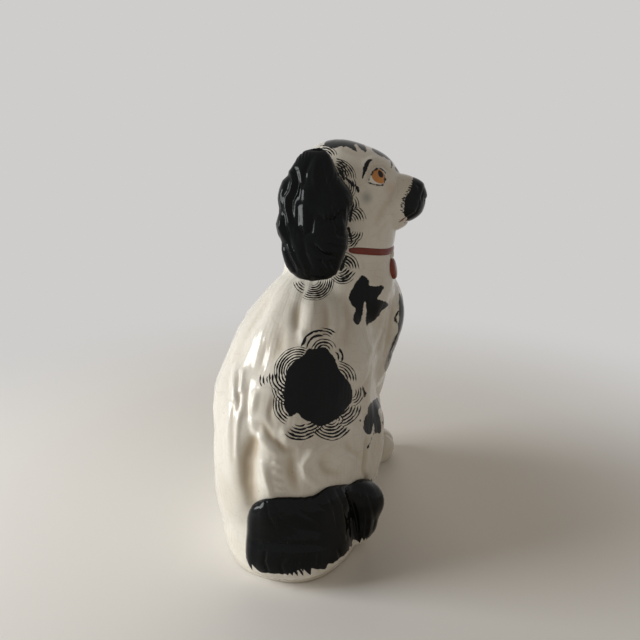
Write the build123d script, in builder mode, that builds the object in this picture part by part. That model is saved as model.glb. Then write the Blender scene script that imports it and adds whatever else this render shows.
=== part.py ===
from build123d import *
from math import cos, exp, log, pi, radians, sin, sqrt
import os

# A hollow earthenware spaniel, seated in profile with its head turned to the viewer.
# Its chest looks along +X, its face along -Y, and +Z is up. The origin is the middle
# of the flat underside. Lengths are in millimetres and angles in degrees.

# Overall sizes
figure_height = 230.0
body_length = 146.0
body_depth = 86.0

# Clay
clay_wall = 4.5
body_blend = 3.0
head_blend = 2.4
limb_blend = 1.5

# Mould seams: the front and back halves part on an upright plane, the head on a level one
parting_depth = -2.0
neck_seam_share = 0.748
neck_seam_height = neck_seam_share * figure_height
head_middle_share = 0.055
head_middle = head_middle_share * body_length

# Foot rim and base
base_thickness = 5.0
rim_height = 6.0
rim_draft = 1.2
rim_undercut = 0.7
rim_squareness = 2.4
rim_draft_power = 1.4
vent_diameter = 8.0
vent_offset = 22.0

# Locks of hair moulded in the body, and the tail
lock_relief = 2.8
tail_sink = 4.0

# Collar and locket
collar_height = 4.6
collar_proud = 0.9
collar_sink = 1.5
collar_half_turn = 53.0
collar_point_count = 9
locket_height = 13.0
locket_width = 9.0
locket_thickness = 2.4
locket_rounding = 1.6
locket_ring_radius = 2.2
locket_ring_wire = 0.8
locket_clearance = 0.2

# Points round each section
body_point_count = 36
head_point_count = 20
limb_point_count = 12
hollow_point_count = 16

# Rounded forms that the clay follows. Each has its centre and its three radii as shares
# of body length, body depth and figure height, then the angles by which its top leans
# towards +X, it turns about the upright, and its top rolls towards +Y.
body_form_shares = {
    "rump": ((-0.185, 0.047, 0.275), (0.336, 0.488, 0.265), (0, -14, 0)),
    "back": ((-0.089, 0.023, 0.432), (0.315, 0.500, 0.272), (22, -10, 0)),
    "chest": ((0.151, -0.130, 0.500), (0.253, 0.430, 0.190), (10, 0, 0)),
    "neck": ((0.055, -0.174, 0.652), (0.185, 0.384, 0.165), (0, 0, 0)),
    "front_haunch": ((-0.050, -0.232, 0.238), (0.268, 0.308, 0.185), (22, 0, 0)),
    "back_haunch": ((-0.110, 0.190, 0.191), (0.274, 0.296, 0.196), (14, 0, 0)),
    "belly": ((0.151, -0.023, 0.200), (0.236, 0.360, 0.287), (0, 0, 0)),
    "shoulder": ((0.205, -0.245, 0.415), (0.171, 0.244, 0.183), (0, 0, 0)),
    "front_hind_paw": ((0.130, -0.300, 0.035), (0.150, 0.110, 0.048), (0, 0, 0)),
    "back_hind_paw": ((0.164, 0.360, 0.035), (0.192, 0.134, 0.052), (0, 0, 0)),
    "ruff": ((0.178, -0.384, 0.568), (0.146, 0.218, 0.126), (0, 0, 6)),
}
nape_form_shares = {"nape": ((0.055, -0.174, 0.809), (0.192, 0.384, 0.174), (0, 0, 0))}
head_form_shares = {
    "skull": ((0.055, -0.151, 0.867), (0.212, 0.314, 0.133), (0, 0, 0)),
    "brow": ((0.055, -0.334, 0.902), (0.171, 0.241, 0.087), (0, 0, 0)),
    "cheeks": ((0.055, -0.279, 0.835), (0.185, 0.279, 0.096), (0, 0, 0)),
    "bridge": ((0.055, -0.550, 0.888), (0.065, 0.185, 0.043), (0, 0, 0)),
    "muzzle": ((0.055, -0.539, 0.863), (0.099, 0.206, 0.052), (0, 0, 0)),
    "nose": ((0.055, -0.713, 0.886), (0.036, 0.052, 0.020), (0, 0, 0)),
    "jaw": ((0.055, -0.424, 0.827), (0.075, 0.212, 0.040), (0, 0, 0)),
}
ear_form_shares = {
    "lobe": ((-0.209, -0.116, 0.832), (0.072, 0.220, 0.140), (0, 0, 8)),
    "root": ((-0.188, -0.098, 0.905), (0.075, 0.152, 0.088), (0, 0, 8)),
    "tip": ((-0.213, -0.145, 0.770), (0.066, 0.165, 0.077), (0, 0, 8)),
}
leg_form_shares = {
    "shank": ((0.424, -0.270, 0.235), (0.082, 0.140, 0.226), (-14, 0, 4)),
    "paw": ((0.575, -0.356, 0.040), (0.120, 0.147, 0.056), (0, 0, 0)),
}

# Lines that the sections are measured from: a height as a share of figure height, then
# a place along X as a share of body length and along Y as a share of body depth
body_axis_shares = [(0.0, -0.027, -0.023), (0.26, -0.055, -0.023), (0.52, 0.014, -0.023), (0.72, 0.055, -0.023)]
ear_axis_shares = [(0.68, -0.210, -0.172), (0.76, -0.210, -0.145), (0.90, -0.192, -0.092), (1.0, -0.188, -0.055)]
leg_axis_shares = [(0.0, 0.555, -0.345), (0.09, 0.500, -0.315), (0.235, 0.424, -0.270), (0.46, 0.335, -0.225)]
# The head is measured from a line along Y: a place as a share of body depth, then a height
head_axis_shares = [(-0.77, 0.885), (-0.73, 0.873), (-0.66, 0.866), (-0.23, 0.861), (0.0, 0.848), (0.20, 0.817)]

# How far the foot rim reaches from the body's axis: shares of body length at the tail and
# the chest, and of body depth at the back and the front
rim_reach_shares = {"tail": 0.493, "chest": 0.479, "back": 0.523, "front": 0.419}

# Locks and hollows of the moulded hair: an angle about the body and a height as a share of
# figure height, then half a width as a share of body depth, half a height as a share of
# figure height, the angle by which its top leans round the body, and its rise as a share
# of lock_relief, where less than nothing is a hollow
lock_shares = [
    (167, 0.287, 0.062, 0.090, 0, -0.75),
    (175, 0.270, 0.048, 0.050, -6, 0.41),
    (186, 0.278, 0.052, 0.046, 0, -0.41),
    (193, 0.300, 0.055, 0.060, -14, 0.49),
    (205, 0.280, 0.064, 0.044, 24, -0.30),
    (217, 0.296, 0.105, 0.052, 20, 0.30),
    (175, 0.372, 0.064, 0.034, 40, 0.34),
    (182, 0.609, 0.056, 0.044, 0, -0.56),
    (192, 0.622, 0.080, 0.050, 0, 0.34),
    (173, 0.570, 0.066, 0.034, 0, -0.26),
    (184, 0.545, 0.066, 0.036, 0, 0.22),
    (164, 0.525, 0.070, 0.044, 0, -0.22),
    (153, 0.460, 0.048, 0.062, 24, 0.30),
    (163, 0.425, 0.050, 0.070, 12, -0.34),
    (157, 0.350, 0.055, 0.075, 6, 0.30),
    (177, 0.440, 0.060, 0.046, 0, -0.22),
    (190, 0.470, 0.090, 0.050, 30, 0.26),
    (200, 0.400, 0.090, 0.046, -20, -0.22),
    (212, 0.596, 0.076, 0.052, -14, 0.30),
    (222, 0.590, 0.060, 0.048, -14, -0.22),
    (160, 0.620, 0.066, 0.046, 14, 0.26),
    (215, 0.480, 0.100, 0.055, -20, 0.40),
    (229, 0.420, 0.090, 0.050, -24, -0.35),
    (243, 0.500, 0.090, 0.055, -20, 0.45),
    (240, 0.330, 0.090, 0.055, 30, -0.40),
    (247, 0.200, 0.100, 0.060, 30, 0.45),
    (262, 0.410, 0.090, 0.045, -20, -0.40),
    (258, 0.560, 0.070, 0.052, -24, -0.40),
    (270, 0.320, 0.100, 0.045, 20, 0.70),
    (277, 0.490, 0.066, 0.060, -20, -0.45),
    (288, 0.570, 0.080, 0.056, -14, 0.50),
    (290, 0.400, 0.080, 0.056, -10, 0.45),
    (305, 0.490, 0.080, 0.056, 0, -0.45),
    (320, 0.580, 0.080, 0.056, 0, 0.50),
    (324, 0.420, 0.080, 0.056, 0, 0.45),
    (340, 0.510, 0.080, 0.056, 0, -0.45),
    (357, 0.590, 0.080, 0.056, 0, 0.50),
    (358, 0.430, 0.080, 0.056, 0, 0.45),
    (15, 0.510, 0.080, 0.056, 0, -0.45),
    (32, 0.590, 0.080, 0.056, 0, 0.50),
    (34, 0.420, 0.080, 0.056, 6, 0.45),
    (50, 0.500, 0.080, 0.056, 10, -0.45),
    (66, 0.580, 0.090, 0.056, 14, 0.45),
    (68, 0.400, 0.090, 0.056, 14, 0.45),
    (84, 0.490, 0.090, 0.056, 14, -0.40),
    (88, 0.290, 0.100, 0.056, -20, -0.40),
    (100, 0.580, 0.090, 0.056, 14, 0.45),
    (103, 0.400, 0.090, 0.056, 18, 0.45),
    (110, 0.200, 0.100, 0.060, -26, 0.45),
    (118, 0.490, 0.090, 0.056, 18, -0.40),
    (122, 0.310, 0.090, 0.056, -20, -0.40),
    (134, 0.580, 0.090, 0.056, 18, 0.45),
    (137, 0.400, 0.090, 0.056, 18, 0.45),
    (143, 0.220, 0.090, 0.060, -16, 0.40),
    (147, 0.530, 0.070, 0.046, 18, -0.35),
    (150, 0.290, 0.060, 0.060, -6, -0.35),
]

# Where the sections lie, as shares of the height or depth that they climb
body_station_shares = [
    0, 0.035, 0.08, 0.13, 0.18, 0.23, 0.28, 0.33, 0.38, 0.43, 0.48,
    0.53, 0.58, 0.63, 0.68, 0.73, 0.78, 0.83, 0.88, 0.92, 0.96, 1,
]
head_station_shares = [-0.752, -0.733, -0.69, -0.625, -0.54, -0.45, -0.365, -0.27, -0.16, -0.023, 0.09, 0.16, 0.20]
ear_station_shares = [0.6975, 0.704, 0.718, 0.742, 0.78, 0.83, 0.88, 0.925, 0.958, 0.979, 0.988]
leg_station_shares = [0, 0.012, 0.03, 0.05, 0.075, 0.10, 0.14, 0.20, 0.28, 0.35, 0.41, 0.44]
hollow_station_shares = [0, 0.08, 0.17, 0.27, 0.37, 0.47, 0.57, 0.67, 0.76, 0.85, 0.93, 1]
head_cavity_station_shares = [-0.50, -0.42, -0.30, -0.16, 0.0, 0.10, 0.145]
# The two lobes of the tail: an angle about the body, then its foot, its top and its
# thickness as shares of figure height
tail_station_shares = [
    (163, 0.062, 0.155, 0.010),
    (166, 0.030, 0.188, 0.030),
    (172, 0.018, 0.216, 0.040),
    (184, 0.018, 0.225, 0.043),
    (195, 0.018, 0.220, 0.043),
    (203, 0.018, 0.231, 0.042),
    (212, 0.020, 0.221, 0.038),
    (220, 0.024, 0.209, 0.027),
    (227, 0.020, 0.208, 0.036),
    (236, 0.020, 0.190, 0.043),
    (244, 0.034, 0.160, 0.036),
    (249, 0.058, 0.130, 0.012),
]

scale_of_shares = (body_length, body_depth, figure_height)
parting_plane = Plane.XZ.offset(-parting_depth)


def between(shares, place):
    """values of a table of shares at a place, by straight lines between its rows"""
    rows = sorted(shares)
    place = min(max(place, rows[0][0]), rows[-1][0])
    for low, high in zip(rows, rows[1:]):
        if place <= high[0]:
            part = (place - low[0]) / (high[0] - low[0])
            return [a + part * (b - a) for a, b in zip(low[1:], high[1:])]


def turned_axes(angles):
    """the three directions of a form that is rolled, then leaned, then turned"""
    lean, turn, roll = (radians(angle) for angle in angles)
    axes = []
    for x, y, z in ((1, 0, 0), (0, 1, 0), (0, 0, 1)):
        y, z = y * cos(roll) + z * sin(roll), z * cos(roll) - y * sin(roll)
        x, z = x * cos(lean) + z * sin(lean), z * cos(lean) - x * sin(lean)
        x, y = x * cos(turn) - y * sin(turn), y * cos(turn) + x * sin(turn)
        axes.append((x, y, z))
    return axes


def in_form(vector, axes, radii):
    """a vector measured along a form's own axes, in its radii"""
    return [sum(v * a for v, a in zip(vector, axis)) / radius for axis, radius in zip(axes, radii)]


def exit_distance(origin, direction, form):
    """how far a ray runs before it leaves a form, or nothing where it misses it"""
    centre_shares, radius_shares, angles = form
    radii = [share * size for share, size in zip(radius_shares, scale_of_shares)]
    start = [o - share * size for o, share, size in zip(origin, centre_shares, scale_of_shares)]
    axes = turned_axes(angles)
    start = in_form(start, axes, radii)
    step = in_form(direction, axes, radii)
    a = sum(s * s for s in step)
    b = sum(o * s for o, s in zip(start, step))
    c = sum(o * o for o in start) - 1
    inside = b * b - a * c
    return (-b + sqrt(inside)) / a if inside > 0 else None


def blended(distances, blend):
    """the longest of some distances, with a soft change from one to the next"""
    found = [distance for distance in distances if distance is not None]
    longest = max(found)
    return longest + blend * log(sum(exp((distance - longest) / blend) for distance in found))


def rim_distance(angle, height):
    """reach of the boat-shaped foot rim from the body's axis"""
    long_reach = rim_reach_shares["chest" if cos(angle) > 0 else "tail"] * body_length
    wide_reach = rim_reach_shares["back" if sin(angle) > 0 else "front"] * body_depth
    reach = (
        (abs(cos(angle)) / long_reach) ** rim_squareness + (abs(sin(angle)) / wide_reach) ** rim_squareness
    ) ** (-1 / rim_squareness)
    above = max(height / rim_height - 1, 0)
    below = max(1 - height / rim_height, 0)
    return reach - rim_draft * above**rim_draft_power - rim_undercut * below**2


def axis_at(axis_shares, height):
    """where a body, ear or leg is measured from at a height"""
    shares = between(axis_shares, height / figure_height)
    return [share * size for share, size in zip(shares, scale_of_shares)]


def lock_rise(angle, height, reach):
    """how far the moulded hair stands out at a place on the body"""
    rise = 0
    for middle, height_share, width_share, tall_share, lean, rise_share in lock_shares:
        away = (angle - radians(middle) + pi) % (2 * pi) - pi
        above = height - height_share * figure_height
        across = away * reach * cos(radians(lean)) + above * sin(radians(lean))
        along = above * cos(radians(lean)) - away * reach * sin(radians(lean))
        spread = (across / (width_share * body_depth)) ** 2 + (along / (tall_share * figure_height)) ** 2
        rise += rise_share * lock_relief * exp(-spread)
    return rise


def body_reach(angle, height):
    """distance from the body's axis to its surface"""
    ray = (cos(angle), sin(angle), 0)
    origin = (*axis_at(body_axis_shares, height), height)
    distances = [exit_distance(origin, ray, form) for form in torso_forms.values()]
    reach = blended([*distances, rim_distance(angle, height)], body_blend)
    return reach + lock_rise(angle, height, reach)


def body_outline(height, count, wall=0.0):
    """points round a level section of the body, or of the hollow a wall inside it"""
    axis_x, axis_y = axis_at(body_axis_shares, height)
    points = []
    for step in range(count):
        angle = 2 * pi * step / count
        reach = min(body_reach(angle, height + side * wall) for side in (-1, 0, 1)) - wall
        points.append((axis_x + reach * cos(angle), axis_y + reach * sin(angle)))
    return points


def limb_outline(forms, axis_shares, height, count):
    """points round a level section of an ear or a leg"""
    axis_x, axis_y = axis_at(axis_shares, height)
    points = []
    for step in range(count):
        angle = 2 * pi * step / count
        ray = (cos(angle), sin(angle), 0)
        distances = [exit_distance((axis_x, axis_y, height), ray, form) for form in forms.values()]
        reach = blended(distances, limb_blend)
        points.append((axis_x + reach * ray[0], axis_y + reach * ray[1]))
    return points


def head_reach(angle, depth, axis_height):
    """distance from the head's axis to its surface"""
    ray = (cos(angle), 0, sin(angle))
    distances = [exit_distance((head_middle, depth, axis_height), ray, form) for form in face_forms.values()]
    return blended(distances, head_blend)


def head_outline(depth, count, wall=0.0):
    """points round an upright section of the head, or of its hollow"""
    axis_height = between(head_axis_shares, depth / body_depth)[0] * figure_height
    points = []
    for step in range(count):
        angle = 2 * pi * step / count
        reach = head_reach(angle, depth, axis_height) - wall
        points.append((head_middle + reach * cos(angle), axis_height + reach * sin(angle)))
    return points


def lofted(planes, outlines):
    """smooth solid through closed outlines, one on each plane"""
    with BuildPart() as form:
        for plane, outline in zip(planes, outlines):
            with BuildSketch(plane):
                with BuildLine():
                    Spline(*outline, periodic=True)
                make_face()
        loft()
    return form.part


def limb(forms, axis_shares, station_shares):
    """smooth solid of an ear or a leg, through level sections"""
    heights = [share * figure_height for share in station_shares]
    return lofted(
        [Plane.XY.offset(height) for height in heights],
        [limb_outline(forms, axis_shares, height, limb_point_count) for height in heights],
    )


torso_forms = {**body_form_shares, **nape_form_shares}
face_forms = {**head_form_shares, **nape_form_shares}

# Outer form and hollow of the body, open at the neck
body_heights = [share * neck_seam_height for share in body_station_shares]
body_form = lofted(
    [Plane.XY.offset(height) for height in body_heights],
    [body_outline(height, body_point_count) for height in body_heights],
)
hollow_heights = [
    base_thickness + share * (neck_seam_height - base_thickness) for share in hollow_station_shares
]
body_cavity = lofted(
    [Plane.XY.offset(height) for height in hollow_heights],
    [body_outline(height, hollow_point_count, clay_wall) for height in hollow_heights],
)

# Outer form and cavity of the head, both cut level at the neck seam
head_form = lofted(
    [Plane.XZ.offset(-share * body_depth) for share in head_station_shares],
    [head_outline(share * body_depth, head_point_count) for share in head_station_shares],
)
head_cavity = lofted(
    [Plane.XZ.offset(-share * body_depth) for share in head_cavity_station_shares],
    [head_outline(share * body_depth, hollow_point_count, clay_wall) for share in head_cavity_station_shares],
)
seam_plane = Plane.XY.offset(neck_seam_height)
base_plane = Plane.XY.offset(base_thickness)

# Base plate: a slab of the foot rim, with a vent for the kiln's hot air
with BuildPart() as base_plate:
    add(body_form)
    split(bisect_by=base_plane, keep=Keep.BOTTOM)
    with Locations((vent_offset, 0, base_thickness)):
        Hole(vent_diameter / 2)

# Body halves: shells pressed in a front and a back mould
with BuildPart() as body_shell:
    add(body_form)
    split(bisect_by=base_plane, keep=Keep.TOP)
    add(body_cavity, mode=Mode.SUBTRACT)
with BuildPart() as body_front_half:
    add(body_shell.part)
    split(bisect_by=parting_plane, keep=Keep.TOP)
with BuildPart() as body_back_half:
    add(body_shell.part)
    split(bisect_by=parting_plane, keep=Keep.BOTTOM)

# Head halves: shells on the same parting plane
with BuildPart() as head_solid:
    add(head_form)
    split(bisect_by=seam_plane, keep=Keep.TOP)
with BuildPart() as head_shell:
    add(head_solid.part)
    add(head_cavity, mode=Mode.SUBTRACT)
with BuildPart() as head_front_half:
    add(head_shell.part)
    split(bisect_by=parting_plane, keep=Keep.TOP)
with BuildPart() as head_back_half:
    add(head_shell.part)
    split(bisect_by=parting_plane, keep=Keep.BOTTOM)

# Ears: thick lobes that seat on the side of the head and hang over the shoulders
head_mirror = Plane.YZ.offset(head_middle)
ear_form = limb(ear_form_shares, ear_axis_shares, ear_station_shares)
with BuildPart() as right_ear:
    add(ear_form)
    add(head_solid.part, mode=Mode.SUBTRACT)
    add(right_ear.solids().sort_by(SortBy.VOLUME)[-1], mode=Mode.REPLACE)
with BuildPart() as left_ear:
    add(mirror(ear_form, about=head_mirror, mode=Mode.PRIVATE))
    add(head_solid.part, mode=Mode.SUBTRACT)
    add(left_ear.solids().sort_by(SortBy.VOLUME)[-1], mode=Mode.REPLACE)

# Forelegs: separately moulded, standing in front of the chest
leg_form = limb(leg_form_shares, leg_axis_shares, leg_station_shares)
with BuildPart() as right_foreleg:
    add(leg_form)
    add(body_form, mode=Mode.SUBTRACT)
with BuildPart() as left_foreleg:
    add(mirror(leg_form, about=parting_plane, mode=Mode.PRIVATE))
    add(body_form, mode=Mode.SUBTRACT)

# Tail: a brush of two lobes that lies round the foot of the rump
with BuildPart() as tail:
    for angle, foot_share, top_share, thickness_share in tail_station_shares:
        ray_x, ray_y = cos(radians(angle)), sin(radians(angle))
        brush_outline = []
        for step in range(limb_point_count):
            turn = 2 * pi * step / limb_point_count
            lift_share = (1 + sin(turn)) / 2
            height = (foot_share + (top_share - foot_share) * lift_share) * figure_height
            depth = thickness_share * figure_height if cos(turn) > 0 else tail_sink
            axis_x, axis_y = axis_at(body_axis_shares, height)
            reach = body_reach(radians(angle), height) + depth * cos(turn)
            brush_outline.append((reach + axis_x * ray_x, height))
        upright_plane = Plane(origin=(0, parting_depth, 0), x_dir=(ray_x, ray_y, 0), z_dir=(ray_y, -ray_x, 0))
        with BuildSketch(upright_plane):
            with BuildLine():
                Spline(*brush_outline, periodic=True)
            make_face()
    loft()
    add(body_form, mode=Mode.SUBTRACT)
    add(tail.solids().sort_by(SortBy.VOLUME)[-1], mode=Mode.REPLACE)

# Outside of body and head in one, which the pieces laid over the neck seam are cut to
with BuildPart() as neck_form:
    add(body_form)
    add(head_solid.part)

# Collar: a band over the neck seam, from ear to ear round the throat
with BuildPart() as collar:
    throat_points = []
    for step in range(collar_point_count):
        angle = radians(collar_half_turn * (2 * step / (collar_point_count - 1) - 1) - 90)
        reach = body_reach(angle, neck_seam_height)
        axis_x, axis_y = axis_at(body_axis_shares, neck_seam_height)
        throat_points.append((axis_x + reach * cos(angle), axis_y + reach * sin(angle)))
    with BuildLine(seam_plane) as throat_line:
        Spline(*throat_points)
    with BuildSketch(Plane(origin=throat_line.line @ 0, z_dir=throat_line.line % 0, x_dir=(0, 0, 1))):
        Ellipse(collar_height / 2, collar_proud + collar_sink)
    sweep()
    add(neck_form.part, mode=Mode.SUBTRACT)
    add(collar.solids().sort_by(SortBy.VOLUME)[-1], mode=Mode.REPLACE)

# Locket: an oval drop on a ring, lying on the throat just below the collar
collar_foot = neck_seam_height - collar_height / 2
ring_height = collar_foot - locket_clearance - locket_ring_radius - locket_ring_wire
locket_middle_height = ring_height - locket_ring_radius + locket_ring_wire - locket_height / 2
throat_front = min(y for x, y in body_outline(locket_middle_height, body_point_count))
with BuildPart() as locket:
    with BuildSketch(Plane.XZ.offset(-throat_front - locket_thickness)):
        with Locations((head_middle, locket_middle_height)):
            Ellipse(locket_width / 2, locket_height / 2)
    extrude(amount=2 * locket_thickness)
    fillet(locket.faces().sort_by(Axis.Y)[0].edges(), locket_rounding)
    with BuildSketch(Plane.XZ.offset(-throat_front - locket_ring_wire)):
        with Locations((head_middle, ring_height)):
            Circle(locket_ring_radius + locket_ring_wire)
            Circle(locket_ring_radius - locket_ring_wire, mode=Mode.SUBTRACT)
    extrude(amount=2 * locket_ring_wire)
    add(body_form, mode=Mode.SUBTRACT)
    add(locket.solids().sort_by(SortBy.VOLUME)[-1], mode=Mode.REPLACE)

pieces = {
    "base_plate": base_plate,
    "body_front_half": body_front_half,
    "body_back_half": body_back_half,
    "head_front_half": head_front_half,
    "head_back_half": head_back_half,
    "right_ear": right_ear,
    "left_ear": left_ear,
    "right_foreleg": right_foreleg,
    "left_foreleg": left_foreleg,
    "tail": tail,
    "collar": collar,
    "locket": locket,
}
os.makedirs("parts", exist_ok=True)
for name, piece in pieces.items():
    piece.part.label = name
    export_step(piece.part, f"parts/{name}.step")
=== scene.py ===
import bpy
import numpy as np
from mathutils import Matrix


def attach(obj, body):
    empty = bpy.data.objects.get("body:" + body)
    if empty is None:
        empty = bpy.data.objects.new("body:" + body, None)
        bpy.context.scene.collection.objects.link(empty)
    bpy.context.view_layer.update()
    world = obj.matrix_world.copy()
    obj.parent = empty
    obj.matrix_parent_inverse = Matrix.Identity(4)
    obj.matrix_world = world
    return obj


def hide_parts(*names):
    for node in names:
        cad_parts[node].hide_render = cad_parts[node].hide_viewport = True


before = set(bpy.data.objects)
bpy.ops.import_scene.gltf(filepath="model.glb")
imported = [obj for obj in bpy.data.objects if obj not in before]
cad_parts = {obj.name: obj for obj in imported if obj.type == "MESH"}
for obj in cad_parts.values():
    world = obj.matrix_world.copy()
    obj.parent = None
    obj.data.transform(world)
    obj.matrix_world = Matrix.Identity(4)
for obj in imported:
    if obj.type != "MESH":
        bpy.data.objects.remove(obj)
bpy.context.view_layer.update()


# The camera stands at the tail end of the figure, 400 mm from its upright middle line and a
# little above the head, and looks down by 17 degrees. Lengths are in millimetres until a
# mesh is made.
millimetre = 0.001
image_width = 640
camera_azimuth = np.radians(-76.0)
camera_pitch = np.radians(17.0)
camera_distance = 400.0
camera_height = 247.0
focal_pixels = 700.0
middle_pixel = np.array([310.0, 326.0])
sensor_width = 36.0

camera_back = np.array([np.sin(camera_azimuth), -np.cos(camera_azimuth), 0.0])
camera_eye = camera_back * camera_distance + np.array([0.0, 0.0, camera_height])
camera_forward = -camera_back * np.cos(camera_pitch) - np.array([0.0, 0.0, np.sin(camera_pitch)])
camera_right = np.cross(-camera_back, [0.0, 0.0, 1.0])
camera_up = np.cross(camera_right, camera_forward)

camera_data = bpy.data.cameras.new("camera")
camera_data.sensor_width = sensor_width
camera_data.lens = focal_pixels / image_width * sensor_width
camera_data.shift_x = (image_width / 2 - middle_pixel[0]) / image_width
camera_data.shift_y = (middle_pixel[1] - image_width / 2) / image_width
camera_data.clip_start = 0.02
camera = bpy.data.objects.new("camera", camera_data)
bpy.context.scene.collection.objects.link(camera)
camera_turn = Matrix(np.stack([camera_right, camera_up, -camera_forward], axis=1).tolist()).to_4x4()
camera.matrix_world = Matrix.Translation((camera_eye * millimetre).tolist()) @ camera_turn
bpy.context.scene.camera = camera
bpy.context.scene.view_settings.view_transform = "Standard"


# Light: a tall soft window at the left of the view, two weak soft panels that fill the shade,
# and a pale sky. The sky is dim as a light and pale where the camera or a shiny glaze sees it.
def fill_inputs(tree, node, inputs):
    """gives a node's inputs their values, or links them to sockets"""
    for socket, value in inputs.items():
        if isinstance(value, bpy.types.NodeSocket):
            tree.links.new(value, node.inputs[socket])
        else:
            node.inputs[socket].default_value = value


def add_node(tree, kind, inputs=None, **settings):
    """shader node of a kind, with plain settings and with inputs that are values or sockets"""
    node = tree.nodes.new("ShaderNode" + kind)
    for setting, value in settings.items():
        setattr(node, setting, value)
    fill_inputs(tree, node, inputs or {})
    return node


def calculate(tree, operation, *values, **settings):
    """result of a sum on values or sockets"""
    return add_node(tree, "Math", dict(enumerate(values)), operation=operation, **settings).outputs[0]


def soft_panel(name, place, aim, width, height, power, colour):
    """rectangular light at a place in millimetres, turned towards its aim"""
    light = bpy.data.lights.new(name, "AREA")
    light.shape = "RECTANGLE"
    light.size = width * millimetre
    light.size_y = height * millimetre
    light.energy = power
    light.color = colour
    panel = bpy.data.objects.new(name, light)
    bpy.context.scene.collection.objects.link(panel)
    backward = np.array(place, float) - np.array(aim, float)
    backward /= np.linalg.norm(backward)
    sideways = np.cross([0.0, 0.0, 1.0], backward)
    sideways /= np.linalg.norm(sideways)
    upward = np.cross(backward, sideways)
    turn = Matrix(np.stack([sideways, upward, backward], axis=1).tolist()).to_4x4()
    panel.matrix_world = Matrix.Translation([value * millimetre for value in place]) @ turn
    return panel


soft_panel("window_light", (-300, 820, 345), (0, 0, 90), 440, 520, 8.2, (0.97, 0.99, 1.0))
for fill_name, fill_place, fill_power in (
    ("shade_light", (-700, -620, 700), 0.5),
    ("rear_light", (760, 260, 620), 1.2),
):
    fill = soft_panel(fill_name, fill_place, (0, 0, 110), 700, 700, fill_power, (1.0, 0.90, 0.76))
    fill.visible_glossy = False

world = bpy.data.worlds.new("pale_sky")
bpy.context.scene.world = world
world.use_nodes = True
sky = world.node_tree
sky.nodes.clear()
ray_kind = add_node(sky, "LightPath").outputs
seen_directly = calculate(sky, "MAXIMUM", ray_kind["Is Camera Ray"], ray_kind["Is Transmission Ray"])
seen_directly = calculate(sky, "MAXIMUM", seen_directly, ray_kind["Is Glossy Ray"])
pale_grey = (0.62, 0.61, 0.60, 1.0)
dim_sky = add_node(sky, "Background", {"Color": (1.0, 0.88, 0.73, 1.0), "Strength": 0.18})
pale_sky = add_node(sky, "Background", {"Color": pale_grey, "Strength": 1.0})
sky_mix = add_node(sky, "MixShader", {0: seen_directly, 1: dim_sky.outputs[0], 2: pale_sky.outputs[0]})
add_node(sky, "OutputWorld", {"Surface": sky_mix.outputs[0]})


# Floor: a pale level disc that keeps the figure's shadow. Away from the figure it takes the
# colour of the sky for the camera and for shiny glaze, so that no horizon shows.
def level_rays(angle):
    """level directions of length 1 at angles about an upright axis"""
    return np.stack([np.cos(angle), np.sin(angle), 0 * angle], -1)


def new_material(name):
    """material, its tree and its surface shader"""
    material = bpy.data.materials.new(name)
    material.use_nodes = True
    return material, material.node_tree, material.node_tree.nodes["Principled BSDF"]


def object_place(tree):
    """place in the object's own frame, in metres"""
    return add_node(tree, "TexCoord").outputs["Object"]


def remap(tree, value, low, high, start, end, **settings):
    """value that goes from start to end while another goes from low to high"""
    inputs = {0: value, 1: low, 2: high, 3: start, 4: end}
    return add_node(tree, "MapRange", inputs, **settings).outputs[0]


def smooth_share(tree, value, low, high):
    """0 below low and 1 above high, with a smooth way between"""
    return remap(tree, value, low, high, 0.0, 1.0, interpolation_type="SMOOTHSTEP")


floor_radius = 4000.0
floor_fade_metres = (0.13, 0.50)
floor_rings = 3
floor_spokes = 96
floor_reaches = np.linspace(0.0, floor_radius, floor_rings + 1)[1:, None, None]
floor_points = floor_reaches * level_rays(np.arange(floor_spokes) * 2 * np.pi / floor_spokes)
floor_faces = [list(range(floor_spokes))]
for ring in range(floor_rings - 1):
    for spoke in range(floor_spokes):
        near = ring * floor_spokes + np.array([spoke, (spoke + 1) % floor_spokes])
        far = near + floor_spokes
        floor_faces.append([int(near[0]), int(far[0]), int(far[1]), int(near[1])])
floor_mesh = bpy.data.meshes.new("floor")
floor_mesh.from_pydata((floor_points.reshape(-1, 3) * millimetre).tolist(), [], floor_faces)
floor = bpy.data.objects.new("floor", floor_mesh)
bpy.context.scene.collection.objects.link(floor)
floor_material, floor_tree, floor_surface = new_material("pale_floor")
fill_inputs(floor_tree, floor_surface, {"Base Color": (0.87, 0.85, 0.82, 1.0), "Roughness": 0.6})
floor_place = object_place(floor_tree)
floor_reach = add_node(floor_tree, "VectorMath", {0: floor_place}, operation="LENGTH").outputs["Value"]
floor_far = smooth_share(floor_tree, floor_reach, *floor_fade_metres)
floor_rays = add_node(floor_tree, "LightPath").outputs
floor_direct = calculate(floor_tree, "MAXIMUM", floor_rays["Is Camera Ray"], floor_rays["Is Glossy Ray"])
floor_seen = calculate(floor_tree, "MULTIPLY", floor_direct, floor_far)
floor_pale = add_node(floor_tree, "Emission", {"Color": pale_grey, "Strength": 1.0})
floor_shades = {0: floor_seen, 1: floor_surface.outputs[0], 2: floor_pale.outputs[0]}
floor_mix = add_node(floor_tree, "MixShader", floor_shades).outputs[0]
fill_inputs(floor_tree, floor_tree.nodes["Material Output"], {"Surface": floor_mix})
floor_mesh.materials.append(floor_material)


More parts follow.
